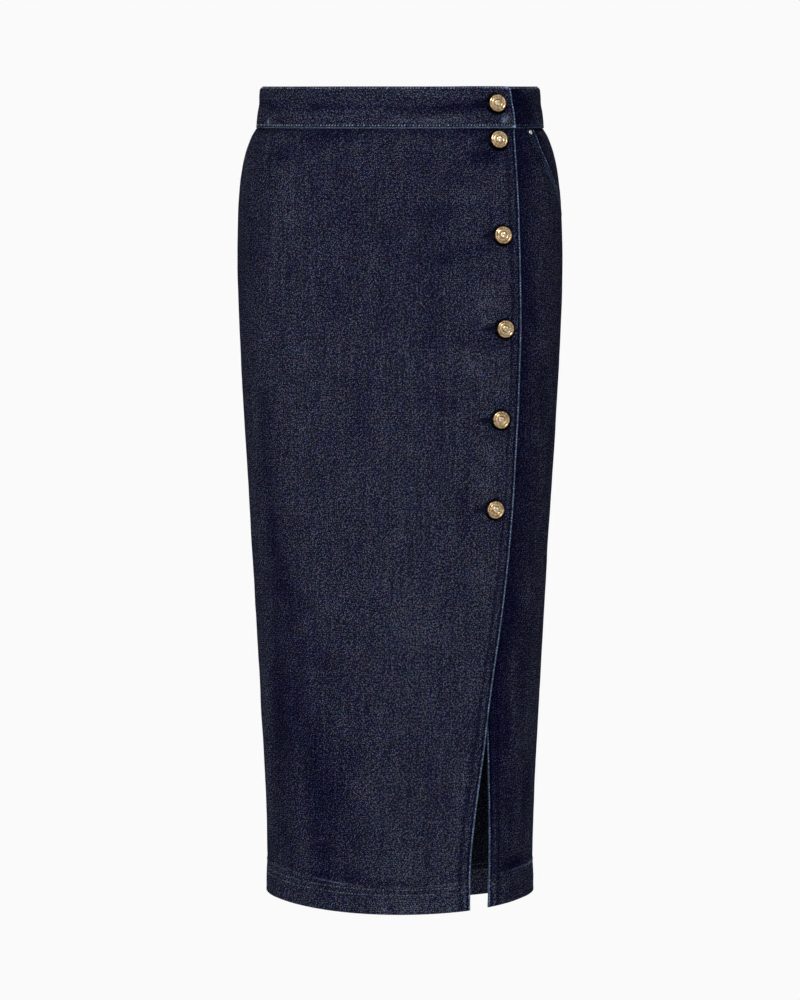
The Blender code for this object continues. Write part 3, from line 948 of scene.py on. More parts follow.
def under_relief(angle, level, points):
    """The under panel sinks beside the over panel's edge and is painted darker there as its shadow.
    """
    height, wear = body_relief(points)
    along = round_body(angle)
    opens = ease(level, *UNDER_OPENS)
    beside = side_gap(angle, over_edge(level), level)
    # Painted shadow of the over panel: a dark strip beside its edge, wider where the slit opens.
    shut = 1 - 0.8 * ease(level, *UNDER_SHUTS)
    strip = shut * bell(beside, 14.0 + 6.0 * opens)
    broad = shut * (1 - ease(beside, 10.0, 45.0))
    wear = wear - (0.15 + 0.2 * opens) * broad - (1.30 + 0.1 * opens) * strip
    height = height - (0.6 + 1.3 * opens) * bell(beside, 9.0)
    edge = side_gap(angle, under_edge(level), level)
    mouth = side_gap(angle, pocket_mouth(level), level)
    rows = edge_rows(edge, (EDGE_FOLD, INNER_ROW))
    rows = rows + np.where(level > MOUTH_BOTTOM, edge_rows(mouth, (EDGE_FOLD, POCKET_ROW)), 0.0)
    ripples = puckers(level, edge - 5, reach=5.0, height=0.14, pitch=7.0, seed=SEED + 13)
    height = height + ripples + rows
    welt = np.where(level > MOUTH_BOTTOM, 1 - ease(np.abs(mouth - 6.0), 2.5, 5.5), 0.0)
    wear = wear + 0.35 * welt
    ripples = puckers(level, mouth - 4, reach=4.0, height=0.14, pitch=6.5, seed=SEED + 15)
    raised = 0.35 * welt + ripples
    seam = seam_relief(mouth) * ease(level, -108.0, -122.0)
    height = height + np.where(level > MOUTH_BOTTOM, raised, seam)
    return finished(height, wear + ROW_SHADE * rows, along, level)


def back_relief(angle, level, points):
    """A back panel: seams at the side and the centre."""
    height, wear = body_relief(points)
    for border in (90.0, 180.0, 270.0):
        gap = side_gap(angle, border, level)
        ripples = puckers(level, gap, reach=5.0, height=0.12, pitch=11.0, seed=SEED + 17)
        height = height + seam_relief(gap) + ripples
    # Painted light: the turn-up is painted lighter.
    wear = wear + BACK_HEM_LIGHT * ease(level, TURN_UP_TOP + 4.0, TURN_UP_TOP - 2.0)
    return finished(height, wear, round_body(angle), level)


def hidden_relief(angle, level, points):
    """The hip piece and the bag follow the cloth over them, with painted shade beside the mouth."""
    height, wear = body_relief(points)
    beside = side_gap(angle, over_edge(level), level)
    height = height - HIDDEN_SINK * bell(beside, HIDDEN_SINK_REACH)
    # Painted shade inside the pocket's mouth.
    wear = wear - 1.5 * (1 - ease(angle - pocket_mouth(level), -4.0, 8.0))
    return height + waist_relief(round_body(angle), level), wear


def band_relief(angle, level, points):
    """The band is full at its two sewn edges and hollow between them, and has painted shade."""
    height, wear = creased(points, BAND, BAND_CREASES)
    drawn, button_shade = dimples(points, BAND)
    height, wear = height + drawn, wear + button_shade
    along = round_body(angle)
    middle = 2.5 + 1.5 * smooth_noise(along, 0 * along, 60.0, SEED + 21)
    deep = 1.0 + 0.4 * smooth_noise(along, 0 * along, 45.0, SEED + 22)
    hollow = deep * bell(level - middle, 6.5)
    height = height - BAND_HOLLOW * hollow
    # Painted shade in the hollow.
    wear = wear - 0.3 * hollow
    height = height + 0.25 * smooth_noise(along, level * 2, 30.0, SEED + 23)
    seam_row = groove(level - BAND_SEAM_ROW)
    height = height + groove(level - BAND_TOP_ROW, 0.2) + seam_row
    at_seam, at_top = level - BAND_SEAM_ROW, level - BAND_TOP_ROW
    height = height + puckers(along, at_seam, reach=5.0, height=0.12, pitch=6.0, seed=SEED + 24)
    height = height + puckers(along, at_top, reach=4.0, height=0.10, pitch=6.5, seed=SEED + 26)
    end = side_gap(angle, band_over_end(level), level, BAND)
    # Painted shade on the under end, where the over end laps over it.
    wear = wear - 1.9 * (1 - ease(np.where(angle < 180, end, 99.0), 6.0, 45.0))
    height = height + np.where(angle > 330, groove(end - EDGE_FOLD), 0.0)
    rolled = 0.7 + 2.0 * np.abs(np.sin(np.radians(angle))) ** 6
    height = height - rolled * (1 - ease(BAND_TOP - level, 0.0, 3.4))
    # A painted shadow line along the band's lower seam.
    seam_shadow = bell(level - BAND_SEAM, 0.6)
    return height, wear + 0.5 * ROW_SHADE * seam_row - 1.5 * seam_shadow


OVER = Cloth(BODY, over_lift, over_relief)
UNDER = Cloth(BODY, no_lift, under_relief)
BACKS = Cloth(BODY, no_lift, back_relief)
HIP = Cloth(BODY, hip_lift, hidden_relief)
POCKET_BAG = Cloth(BODY, bag_lift, hidden_relief)
BAND_CLOTH = Cloth(BAND, band_lift, band_relief)


def cloth_points(cloth, angle, level):
    """Points of a piece's outer face, and their wear and painted light and shade."""
    angle, level = paired(angle, level)
    base, _, _, out = frames_at(cloth.table, angle, level)
    height, wear = cloth.relief(angle, level, base)
    height = height + cloth.lift(angle, level)
    return base + height[..., None] * unit(out * (1, 1, 0)), wear


def cloth_normals(cloth, angle, level):
    """The directions out of a piece's outer face."""
    turn, climb = 0.3, 0.6

    def at(angle, level):
        return cloth_points(cloth, angle, level)[0]

    across = at(angle + turn, level) - at(angle - turn, level)
    up = at(angle, level + climb) - at(angle, level - climb)
    return unit(np.cross(across, up))


# ---------------------------------------------------------------- cloth meshes


def stepped(length, fine_start, fine_end, fine=FINE_STEP, coarse=COARSE_STEP):
    """Shares of a length, in fine steps at its two ends and coarse ones between."""
    places = [0.0]
    while places[-1] < length:
        here = places[-1]
        near_end = here < fine_start or length - here < fine_end
        places.append(here + (fine if near_end else coarse))
    places = np.array(places)
    return places / places[-1]


def cloth_levels(top, bottom):
    """Levels from the top down, fine under the waist and at the hem."""
    fine_top = WAIST_STRIP if top == WAIST else 0.0
    fine_bottom = HEM_STRIP if bottom == HEM else 0.0
    shares = stepped(top - bottom, fine_top, fine_bottom, FINE_STEP, LEVEL_STEP)
    return top + (bottom - top) * shares


def hem_levels():
    """A panel's levels, with rows on both sides of the turn-up's step."""
    levels = cloth_levels(WAIST, HEM)
    for level in (TURN_UP_TOP + TURN_UP_STEP, TURN_UP_TOP):
        levels[np.argmin(np.abs(levels - level))] = level
    return levels


def smooth_mesh(name, points, faces, attributes):
    """A smooth mesh from points in metres, with each attribute's value for every point."""
    mesh = bpy.data.meshes.new(name)
    mesh.from_pydata(points, [], faces)
    for key, values in attributes.items():
        made = mesh.attributes.new(key, "FLOAT", "POINT")
        made.data.foreach_set("value", values.astype(np.float32).ravel())
    mesh.shade_smooth()
    return mesh


def grid_mesh(name, points, uv, attributes):
    """A mesh over rows of points, with a UV map in millimetres and float attributes."""
    rows, columns = points.shape[:2]
    index = np.arange(rows * columns).reshape(rows, columns)
    faces = np.stack((index[1:, :-1], index[1:, 1:], index[:-1, 1:], index[:-1, :-1]), -1)
    faces = faces.reshape(-1, 4)
    places = (points.reshape(-1, 3) * MM).tolist()
    mesh = smooth_mesh(name, places, faces.tolist(), attributes)
    layer = mesh.uv_layers.new(name="cloth")
    layer.data.foreach_set("uv", uv.reshape(-1, 2)[faces.ravel()].astype(np.float32).ravel())
    return mesh


def put_in_scene(name, data, materials=()):
    """An object with this mesh, light or camera."""
    made = bpy.data.objects.new(name, data)
    bpy.context.scene.collection.objects.link(made)
    for finish in materials:
        data.materials.append(finish)
    return made


def freeze(made):
    """Turns an object's modifiers into its mesh."""
    bpy.context.view_layer.update()
    graph = bpy.context.evaluated_depsgraph_get()
    mesh = bpy.data.meshes.new_from_object(made.evaluated_get(graph), depsgraph=graph)
    made.modifiers.clear()
    made.data = mesh


def cloth_piece(name, cloth, borders, levels, shares, worn_edges, wall, materials, cutter=None):
    """A piece of cloth with rounded edges. worn_edges gives each place's distance to wear."""
    start, end = borders[0](levels), borders[1](levels)
    angle = start[:, None] + shares * (end - start)[:, None]
    level = np.repeat(levels[:, None], len(shares), axis=1)
    points, wear = cloth_points(cloth, angle, level)
    uv = np.stack((arc_lengths(cloth.table, angle, level), points[..., 2]), -1)
    if cloth.table is BAND:
        uv = uv[..., ::-1]
    button = to_button(base_points(cloth.table, angle, level), cloth.table)
    worn = worn_edges(angle, level)
    # This attribute carries the wear together with painted light and shade.
    values = {"worn_mm": worn, "rubbed_and_painted_light": wear, "level_mm": level, "button_mm": button}
    made = put_in_scene(name, grid_mesh(name, points, uv, values), materials)
    shell = made.modifiers.new("wall", "SOLIDIFY")
    shell.thickness = wall * MM
    shell.offset = -1.0
    shell.material_offset = 1
    shell.material_offset_rim = 0
    has_hem = levels[-1] <= HEM
    if has_hem:
        thicken_turn_up(made, shell, level)
    edges = made.modifiers.new("rounded_edges", "BEVEL")
    edges.width = (BAND_EDGE_ROUND if wall == BAND_WALL else EDGE_ROUND) * MM
    edges.segments = EDGE_SEGMENTS
    edges.limit_method = "ANGLE"
    edges.angle_limit = math.radians(60)
    if cutter:
        hole = made.modifiers.new("keyholes", "BOOLEAN")
        hole.operation = "DIFFERENCE"
        hole.object = cutter
        hole.solver = "EXACT"
    freeze(made)
    made.data.shade_smooth()
    if has_hem:
        show_turn_up(made.data)
    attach(made, "root")
    return made


def thicken_turn_up(made, shell, level):
    """The wall is two layers thick where the hem is turned up."""
    group = made.vertex_groups.new(name="turn_up")
    doubled = np.flatnonzero((level <= TURN_UP_TOP + 0.01).ravel())
    group.add(doubled.tolist(), 1.0, "REPLACE")
    shell.thickness = TURN_UP_WALL * MM
    shell.thickness_vertex_group = WALL / TURN_UP_WALL
    shell.vertex_group = group.name


def show_turn_up(mesh):
    """The hem's turn-up has the outer face of the cloth on the inside."""
    level = np.empty(len(mesh.vertices), np.float32)
    mesh.attributes["level_mm"].data.foreach_get("value", level)
    for face in mesh.polygons:
        if max(level[index] for index in face.vertices) <= TURN_UP_TOP + 0.1:
            face.material_index = 0


def hem_wear(angle, level):
    """The line of the turn-up's top edge, worn here and there."""
    along = round_body(angle)
    patchy = 0.95 + 0.5 * smooth_noise(along, level, 16.0, SEED + 33)
    return np.abs(level - hem_ridge(along)) + patchy


def no_wear(angle, level):
    return np.full(angle.shape, FAR)


def over_wear(angle, level):
    return np.minimum(side_gap(angle, over_edge(level), level), hem_wear(angle, level))


def under_wear(angle, level):
    """The slit's edge, the pocket's mouth and, less, the strip beside the mouth."""
    edge = side_gap(angle, under_edge(level), level)
    mouth = side_gap(angle, pocket_mouth(level), level)
    strip = 1.5 + 4 * ease(np.abs(mouth - 6.0), 3.5, 6.0)
    mouth = np.where(level > MOUTH_BOTTOM + 4, np.minimum(0.7 * mouth, strip), FAR)
    return np.minimum(np.minimum(edge, mouth), hem_wear(angle, level))


def band_wear(angle, level):
    """The over end most, and the sewn edges less."""
    end = np.where(angle > 300, side_gap(angle, band_over_end(level), level, BAND), FAR)
    top = BAND_TOP - level + 0.6
    seam = np.abs(level - BAND_SEAM - 1.0) + 0.5
    return np.minimum(np.minimum(end, top), seam)


# ---------------------------------------------------------------- keyholes


def placement(table, level, across):
    """A matrix with X across, Y up and Z out of the cloth, in metres."""
    angle = angle_across(table, np.array(level), across)
    point, right, up, out = frames_at(table, angle, np.array(level))
    turned = Matrix((right, up, out)).transposed().to_4x4()
    return Matrix.Translation(Vector(point) * MM) @ turned


def keyhole_outline():
    """A round eye for the shank, and the slot that runs back from it."""
    half = HOLE_HEIGHT / 2
    start = math.asin(half / EYE_RADIUS)
    sweep = 2 * (math.pi - start)
    turns = [math.pi + start + sweep * index / EYE_STEPS for index in range(EYE_STEPS + 1)]
    eye = [(EYE_RADIUS * math.cos(turn), EYE_RADIUS * math.sin(turn)) for turn in turns]
    return [*eye, (-HOLE_LENGTH, half), (-HOLE_LENGTH, -half)]


def keyhole_cutter(name, buttons):
    """Prisms through the upper layer only, joined in one mesh."""
    low, high = LAYER_GAP / 2 - DIMPLE_DEPTH, CUTTER_TOP
    prism = bmesh.new()
    for button in buttons:
        place = placement(button_table(button), button.level, button.across)
        corners = []
        for x, y in keyhole_outline():
            bend = x * x / (2 * PLACKET_CURVE)
            corners.append(prism.verts.new(place @ (Vector((x, y, low - bend)) * MM)))
        face = prism.faces.new(corners)
        grown = bmesh.ops.extrude_face_region(prism, geom=[face])
        top = [item for item in grown["geom"] if isinstance(item, bmesh.types.BMVert)]
        rise = (place.to_3x3() @ Vector((0, 0, 1))) * (high - low) * MM
        bmesh.ops.translate(prism, verts=top, vec=rise)
    bmesh.ops.recalc_face_normals(prism, faces=prism.faces)
    mesh = bpy.data.meshes.new(name)
    prism.to_mesh(mesh)
    prism.free()
    return put_in_scene(name, mesh)


# ---------------------------------------------------------------- stitches


def stitch_template():
    """One stitch along X, rising along Z, as points, faces and how pale each point is."""
    points, pale = [], []
    for along, girth, rise in STITCH_RINGS:
        for side in range(STITCH_SIDES):
            turn = 2 * math.pi * side / STITCH_SIDES
            points.append((
                along * STITCH_LENGTH / 2,
                girth * STITCH_RADIUS * math.cos(turn) * 1.15,
                STITCH_RADIUS * (rise + girth * math.sin(turn)),
            ))
            pale.append(1.0 if abs(along) < 0.9 else 0.0)
    last = (len(STITCH_RINGS) - 1) * STITCH_SIDES
    faces = []
    for low in range(0, last, STITCH_SIDES):
        high = low + STITCH_SIDES
        for side in range(STITCH_SIDES):
            after = (side + 1) % STITCH_SIDES
            faces.append((low + side, low + after, high + after, high + side))
    faces.append(tuple(range(STITCH_SIDES))[::-1])
    faces.append(tuple(last + side for side in range(STITCH_SIDES)))
    return np.array(points), faces, np.array(pale)


def stitches_along(points, normals):
    """Centres and directions of the stitches at even steps along a row."""
    along = along_line(points)
    count = max(int(along[-1] / STITCH_PITCH), 1)
    places = (np.arange(count) + 0.5) * along[-1] / count
    centre = at_places(places, along, points)
    ahead, behind = at_places(places + 0.8, along, points), at_places(places - 0.8, along, points)
    forward = unit(ahead - behind)
    out = at_places(places, along, normals)
    out = unit(out - (out * forward).sum(-1, keepdims=True) * forward)
    return centre, forward, out


def row_on(cloth, angle, level, inside=0.0):
    """A row of stitches on a piece's outer face, or on its inner one at that depth."""
    angle, level = paired(angle, level)
    points, _ = cloth_points(cloth, angle, level)
    normals = cloth_normals(cloth, angle, level)
    if inside:
        points, normals = points - inside * normals, -normals
    return stitches_along(points, normals)


def stitched(name, rows, finish, pale, girth=1.0, slant=0.0):
    """One mesh of all the stitches in some rows, each turned from its row by the slant."""
    template, faces, ends = stitch_template()
    random = np.random.RandomState(SEED + len(name))
    centre, forward, out = (np.concatenate(values) for values in zip(*rows))
    across = np.cross(out, forward)
    count = len(centre)
    size = 1 + STITCH_UNEVEN * random.uniform(-1, 1, (count, 1, 1))
    lean = slant + STITCH_LEAN * random.uniform(-1, 1, (count, 1))
    forward, across = unit(forward + lean * across), unit(across - lean * forward)
    spots = (
        template[:, 0, None] * forward[:, None]
        + template[:, 1, None] * across[:, None] * girth
        + template[:, 2, None] * out[:, None] * girth
    )
    points = centre[:, None] + spots * size
    jumps = range(0, count * len(template), len(template))
    all_faces = [[corner + jump for corner in face] for jump in jumps for face in faces]
    strength = pale * random.uniform(0.15, 1.0, (count, 1)) ** 1.4
    places = (points.reshape(-1, 3) * MM).tolist()
    mesh = smooth_mesh(name, places, all_faces, {"pale": ends[None] * strength})
    made = put_in_scene(name, mesh, [finish])
    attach(made, "root")
    return made


def edge_stitches(cloth, border, top, bottom, inward):
    """The row this far inward from an upright border, where inward is signed."""
    level = np.linspace(top, bottom, 500)
    edge, turn = border(level), 0.2
    reach = side_gap(edge + turn, edge, level, cloth.table)
    return row_on(cloth, edge + turn * inward / reach, level)


# ---------------------------------------------------------------- materials


class Nodes:
    """A material's node tree, with each node made and linked in one call."""

    def __init__(self, name):
        self.material = bpy.data.materials.new(name)
        self.material.use_nodes = True
        self.tree = self.material.node_tree
        self.shader = self.tree.nodes["Principled BSDF"]

    def set(self, node, inputs):
        for key, value in inputs.items():
            if isinstance(value, bpy.types.NodeSocket):
                self.tree.links.new(value, node.inputs[key])
            else:
                node.inputs[key].default_value = value
        return node

    def add(self, kind, inputs=None, **settings):
        node = self.tree.nodes.new(kind)
        for key, value in settings.items():
            setattr(node, key, value)
        return self.set(node, inputs or {})

    def math(self, operation, *values):
        inputs = dict(enumerate(values))
        return self.add("ShaderNodeMath", inputs, operation=operation).outputs[0]

    def noise(self, vector, scale, detail=2.0, roughness=0.5):
        inputs = {"Vector": vector, "Scale": scale, "Detail": detail, "Roughness": roughness}
        return self.add("ShaderNodeTexNoise", inputs).outputs["Fac"]

    def stretched(self, vector, x, y):
        inputs = {0: vector, 1: (x, y, 1.0)}
        return self.add("ShaderNodeVectorMath", inputs, operation="MULTIPLY").outputs[0]

    def ramp(self, value, stops):
        node = self.add("ShaderNodeValToRGB", {"Fac": value})
        elements = node.color_ramp.elements
        while len(elements) < len(stops):
            elements.new(0.5)
        for element, (position, colour) in zip(elements, stops):
            element.position = position
            element.color = (*colour, 1.0)
        return node.outputs["Color"]

    def mix(self, share, first, second, blend="MIX"):
        node = self.add("ShaderNodeMix", data_type="RGBA", blend_type=blend)
        self.set(node, {0: share, 6: first, 7: second})
        return node.outputs[2]

    def grey(self, value):
        inputs = {"X": value, "Y": value, "Z": value}
        return self.add("ShaderNodeCombineXYZ", inputs).outputs[0]

    def clamped(self, value):
        return self.add("ShaderNodeClamp", {"Value": value}).outputs[0]

    def between(self, value, low, high):
        """0 at low, 1 at high."""
        inputs = {"Value": value, "From Min": low, "From Max": high}
        made = self.add("ShaderNodeMapRange", inputs, interpolation_type="SMOOTHSTEP")
        return made.outputs["Result"]

    def attribute(self, name):
        return self.add("ShaderNodeAttribute", attribute_name=name).outputs["Fac"]

    def cloth_place(self):
        """The place on the flat cloth, in millimetres."""
        return self.add("ShaderNodeUVMap", uv_map="cloth").outputs["UV"]

    def object_place(self):
        return self.add("ShaderNodeTexCoord").outputs["Object"]

    def bump(self, height, strength, distance):
        inputs = {"Height": height, "Strength": strength, "Distance": distance}
        return self.add("ShaderNodeBump", inputs).outputs["Normal"]


# Threads of the twill. The weft shows as one short float in each repeat of four warp ends.
WARP_END = 0.385
WEFT_PICK = 0.55
ENDS_A_REPEAT = 4
FLECK_PITCH = 2.15
FLECK_GAIN = 3.5
FLECK_BASE = 0.3
FLECK_SPREAD = 0.5
FLECK_EDGE = 0.5
PIT_PITCH = 2.05
PIT_DEPTH = 1.5
FACE_WARP = (0.0046, 0.0049, 0.0225)
FACE_WEFT = (0.420, 0.460, 0.635)
# The reverse is dark navy, darker than real reverse denim, as painted shade for the skirt's inside.
REVERSE_WARP = (0.0055, 0.0062, 0.0145)
REVERSE_WEFT = (0.200, 0.210, 0.275)
WORN_WARP = (0.065, 0.105, 0.180)
WORN_WEFT = (0.46, 0.60, 0.80)
# The tint of the painted shade.
SHADE_TINT = (0.05, 0.02, 0.42)
HUE_SPREAD = (0.90, 0.50, 0.95)
HUE_BASE = (0.55, 0.75, 0.525)
# How bright the painted rim light is.
RIM_LIGHT_GAIN = 0.2
# How dark the painted shadow round each cap is.
RING_SHADE = 0.85

# The dark and the light colour of each thread and metal.
INDIGO_THREAD = (0.007, 0.008, 0.021), (0.42, 0.45, 0.54)
EDGE_THREAD = (0.012, 0.018, 0.044), (0.42, 0.56, 0.80)
WHITE_THREAD = (0.012, 0.018, 0.044), (0.66, 0.72, 0.82)
SATIN_GOLD = (0.36, 0.21, 0.09), (0.86, 0.69, 0.45)
NICKEL = (0.20, 0.20, 0.20), (0.80, 0.80, 0.79)


def floats(nodes, u, v, lean):
    """Where the weft passes over the warp: one spot to each repeat, a row further on each pick."""
    picks = nodes.math("DIVIDE", v, WEFT_PICK)
    pick = nodes.math("FLOOR", picks)
    repeats = nodes.math("MULTIPLY_ADD", pick, -lean * WARP_END, u)
    repeats = nodes.math("DIVIDE", repeats, ENDS_A_REPEAT * WARP_END)
    across = nodes.math("ABSOLUTE", nodes.math("ADD", nodes.math("FRACT", repeats), -0.5))
    upright = nodes.math("ABSOLUTE", nodes.math("ADD", nodes.math("FRACT", picks), -0.5))
    across, upright = nodes.between(across, 0.20, 0.07), nodes.between(upright, 0.52, 0.22)
    spot = nodes.math("MULTIPLY", across, upright)
    cell = {"X": nodes.math("FLOOR", repeats), "Y": pick}
    cell = nodes.add("ShaderNodeCombineXYZ", cell).outputs[0]
    chance = nodes.add("ShaderNodeTexWhiteNoise", {"Vector": cell}).outputs["Value"]
    return spot, chance


def flecks(nodes, u, v, pitch, shift):
    """Spots that are spread unevenly over the cloth, each with its own strength."""
    x = nodes.math("MULTIPLY_ADD", v, 0.35, u)
    place = nodes.add("ShaderNodeCombineXYZ", {"X": x, "Y": v, "Z": 0.0}).outputs[0]
    place = nodes.add("ShaderNodeVectorMath", {0: place, 1: (shift, shift, 0.0)}).outputs[0]
    inputs = {"Vector": place, "Scale": 1 / pitch, "Randomness": 0.75}
    spots = nodes.add("ShaderNodeTexVoronoi", inputs, voronoi_dimensions="2D").outputs
    parts = nodes.add("ShaderNodeSeparateColor", {"Color": spots["Color"]}).outputs
    strength = nodes.math("MULTIPLY_ADD", parts["Red"], FLECK_SPREAD, 1.0 - FLECK_SPREAD)
    return nodes.math("MULTIPLY", nodes.between(spots["Distance"], FLECK_EDGE, 0.05), strength)


def denim(name, warp_colour, weft_colour, lean=1.0):
    """Twill with slubs along the warp and light floats of weft, pale worn edges and painted shade.
    """
    nodes = Nodes(name)
    math_node = nodes.math
    uv = nodes.cloth_place()
    split = nodes.add("ShaderNodeSeparateXYZ", {0: uv}).outputs
    wander = nodes.noise(uv, 0.11, 2.0, 0.6)
    u = math_node("MULTIPLY_ADD", wander, 2.2, split["X"])
    v = math_node("MULTIPLY_ADD", wander, 1.3, split["Y"])
    spot, chance = floats(nodes, u, v, lean)
    fleck = flecks(nodes, u, v, FLECK_PITCH, 0.0)
    pit = flecks(nodes, u, v, PIT_PITCH, 61.0)
    bright = math_node("MULTIPLY_ADD", math_node("POWER", chance, 1.5), 0.8, 0.2)
    lit = math_node("MULTIPLY_ADD", fleck, FLECK_GAIN, FLECK_BASE)
    lit = math_node("MULTIPLY", lit, math_node("MULTIPLY_ADD", pit, -PIT_DEPTH, 1.0))
    lit = math_node("MAXIMUM", lit, 0.0)

    # Slubs, streaks and clouds change how much of the weft shows.
    slub = nodes.noise(nodes.stretched(uv, 0.45, 0.014), 1.0, 3.0, 0.7)
    streak = nodes.noise(nodes.stretched(uv, 0.16, 0.009), 1.0, 2.0, 0.6)
    grain = nodes.noise(uv, 1.5, 1.0, 0.75)
    mottle = nodes.noise(uv, 0.055, 3.0, 0.6)
    cloud = nodes.noise(uv, 0.017, 1.0, 0.5)
    tone = math_node("MULTIPLY_ADD", slub, 2.0, -1.0)
    for value, strength in ((streak, 1.2), (grain, 1.0), (mottle, 0.9), (cloud, 0.5)):
        tone = math_node("ADD", tone, math_node("MULTIPLY_ADD", value, strength, -strength / 2))
    # The attribute's wear and painted light lighten the cloth, and its painted shade darkens it.
    rubbed_and_painted_light = nodes.attribute("rubbed_and_painted_light")
    # Painted shade: below 0 the attribute darkens the cloth, most in red and green, towards a deep
    # blue tint.
    painted_shade = math_node("MULTIPLY", math_node("MINIMUM", rubbed_and_painted_light, 0.0), 0.6)
    tone = math_node("ADD", tone, math_node("SUBTRACT", rubbed_and_painted_light, painted_shade))
    gain = math_node("EXPONENT", tone)
    share = math_node("MULTIPLY", math_node("MULTIPLY", spot, bright), lit)
    share = nodes.clamped(math_node("MULTIPLY", share, gain))
    cloth = nodes.mix(share, (*warp_colour, 1.0), (*weft_colour, 1.0))
    inputs = {"Vector": uv, "Scale": 0.09, "Detail": 3.0, "Roughness": 0.75}
    hues = nodes.add("ShaderNodeTexNoise", inputs).outputs["Color"]
    tint = {0: hues, 1: HUE_SPREAD, 2: HUE_BASE}
    tint = nodes.add("ShaderNodeVectorMath", tint, operation="MULTIPLY_ADD").outputs[0]
    cloth = nodes.mix(1.0, cloth, tint, "MULTIPLY")
    shade = math_node("SUBTRACT", 1.0, math_node("EXPONENT", painted_shade))
    cloth = nodes.mix(shade, cloth, (*SHADE_TINT, 1.0), "MULTIPLY")

    # A painted rim light brightens the cloth where it turns away, and a painted shadow darkens it
    # round each cap.
    facing = nodes.add("ShaderNodeLayerWeight", {"Blend": 0.5}).outputs["Facing"]
    rim_light = math_node("MULTIPLY_ADD", math_node("POWER", facing, 4.0), RIM_LIGHT_GAIN, 1.0)
    shaded = nodes.between(nodes.attribute("button_mm"), RING_EDGE, RING_FULL)
    light = math_node("MULTIPLY", rim_light, math_node("MULTIPLY_ADD", shaded, -RING_SHADE, 1.0))
    cloth = nodes.mix(1.0, cloth, nodes.grey(light), "MULTIPLY")

    # Worn edges and rubbed places show the pale core of the yarn, and so do the strongest painted
    # lights.
    worn_yarn = nodes.mix(1.0, (*WORN_WARP, 1.0), nodes.grey(gain), "MULTIPLY")
    worn = nodes.mix(share, worn_yarn, (*WORN_WEFT, 1.0))
    fray = math_node("MULTIPLY_ADD", nodes.noise(uv, 0.8, 2.0, 0.7), 2.2, -1.1)
    edge = nodes.between(math_node("ADD", nodes.attribute("worn_mm"), fray), 1.8, 0.6)
    rough_patch = math_node("MULTIPLY_ADD", nodes.noise(uv, 0.45, 2.0, 0.7), 2.4, -1.2)
    patch = nodes.between(math_node("ADD", rubbed_and_painted_light, rough_patch), 0.9, 1.5)
    wear = math_node("MAXIMUM", edge, math_node("MULTIPLY", patch, 0.7))
    colour = nodes.mix(wear, cloth, worn)

    ridge = math_node("ABSOLUTE", math_node("SINE", math_node("MULTIPLY", u, math.pi / WARP_END)))
    height = math_node("MULTIPLY_ADD", spot, 0.8, ridge)
    height = math_node("MULTIPLY_ADD", fleck, 0.8, height)
    bump = nodes.bump(height, 0.6, 0.00012)
    nodes.set(nodes.shader, {
        "Base Color": colour,
        "Roughness": 0.95,
        "Specular IOR Level": 0.0,
        "Sheen Weight": 0.01,
        "Sheen Roughness": 0.45,
        "Sheen Tint": (0.55, 0.62, 0.90, 1.0),
        "Normal": bump,
    })
    return nodes.material


def cotton(name):
    """A plain weave of fine navy threads."""
    nodes = Nodes(name)
    uv = nodes.cloth_place()
    warp = nodes.noise(nodes.stretched(uv, 2.2, 0.2), 1.0, 2.0, 0.6)
    weft = nodes.noise(nodes.stretched(uv, 0.2, 2.2), 1.0, 2.0, 0.6)
    tone = nodes.math("MULTIPLY", nodes.math("ADD", warp, weft), 0.5)
    colour = nodes.ramp(tone, [(0.3, (0.014, 0.016, 0.032)), (0.7, (0.055, 0.060, 0.090))])
    bump = nodes.bump(tone, 0.5, 0.0002)
    nodes.set(nodes.shader, {
        "Base Color": colour, "Roughness": 0.92, "Specular IOR Level": 0.15, "Normal": bump,
    })
    return nodes.material


def thread(name, dark, light):
    """Sewing thread, pale where it lies on top of the cloth."""
    nodes = Nodes(name)
    place = nodes.object_place()
    twist = nodes.noise(place, 2600.0, 2.0, 0.6)
    colour = nodes.ramp(twist, [(0.3, dark), (0.7, tuple(1.8 * c for c in dark))])
    colour = nodes.mix(nodes.clamped(nodes.attribute("pale")), colour, (*light, 1.0))
    bump = nodes.bump(twist, 0.4, 0.0001)
    nodes.set(nodes.shader, {
        "Base Color": colour, "Roughness": 0.8, "Specular IOR Level": 0.02, "Normal": bump,
    })
    return nodes.material


def metal(name, dark, light, roughness):
    """Satin metal, finely scratched, darker as tarnish in its grooves and as painted shade on its
    rims and undersides.
    """
    nodes = Nodes(name)
    place = nodes.object_place()
    cloud = nodes.noise(place, 420.0, 3.0, 0.6)
    scratch = nodes.noise(place, 2400.0, 3.0, 0.7)
    tarnish = nodes.math("MULTIPLY_ADD", nodes.attribute("hollow"), -0.45, cloud)
    deep = tuple(0.12 * part for part in dark)
    colour = nodes.ramp(tarnish, [(0.02, deep), (0.22, dark), (0.55, light)])
    roughly = nodes.math("MULTIPLY_ADD", scratch, 0.16, roughness - 0.08)
    bump = nodes.bump(scratch, 0.15, 0.00008)
    nodes.set(nodes.shader, {
        "Base Color": colour, "Metallic": 1.0, "Roughness": roughly, "Normal": bump,
    })
    return nodes.material


# ---------------------------------------------------------------- buttons and rivet


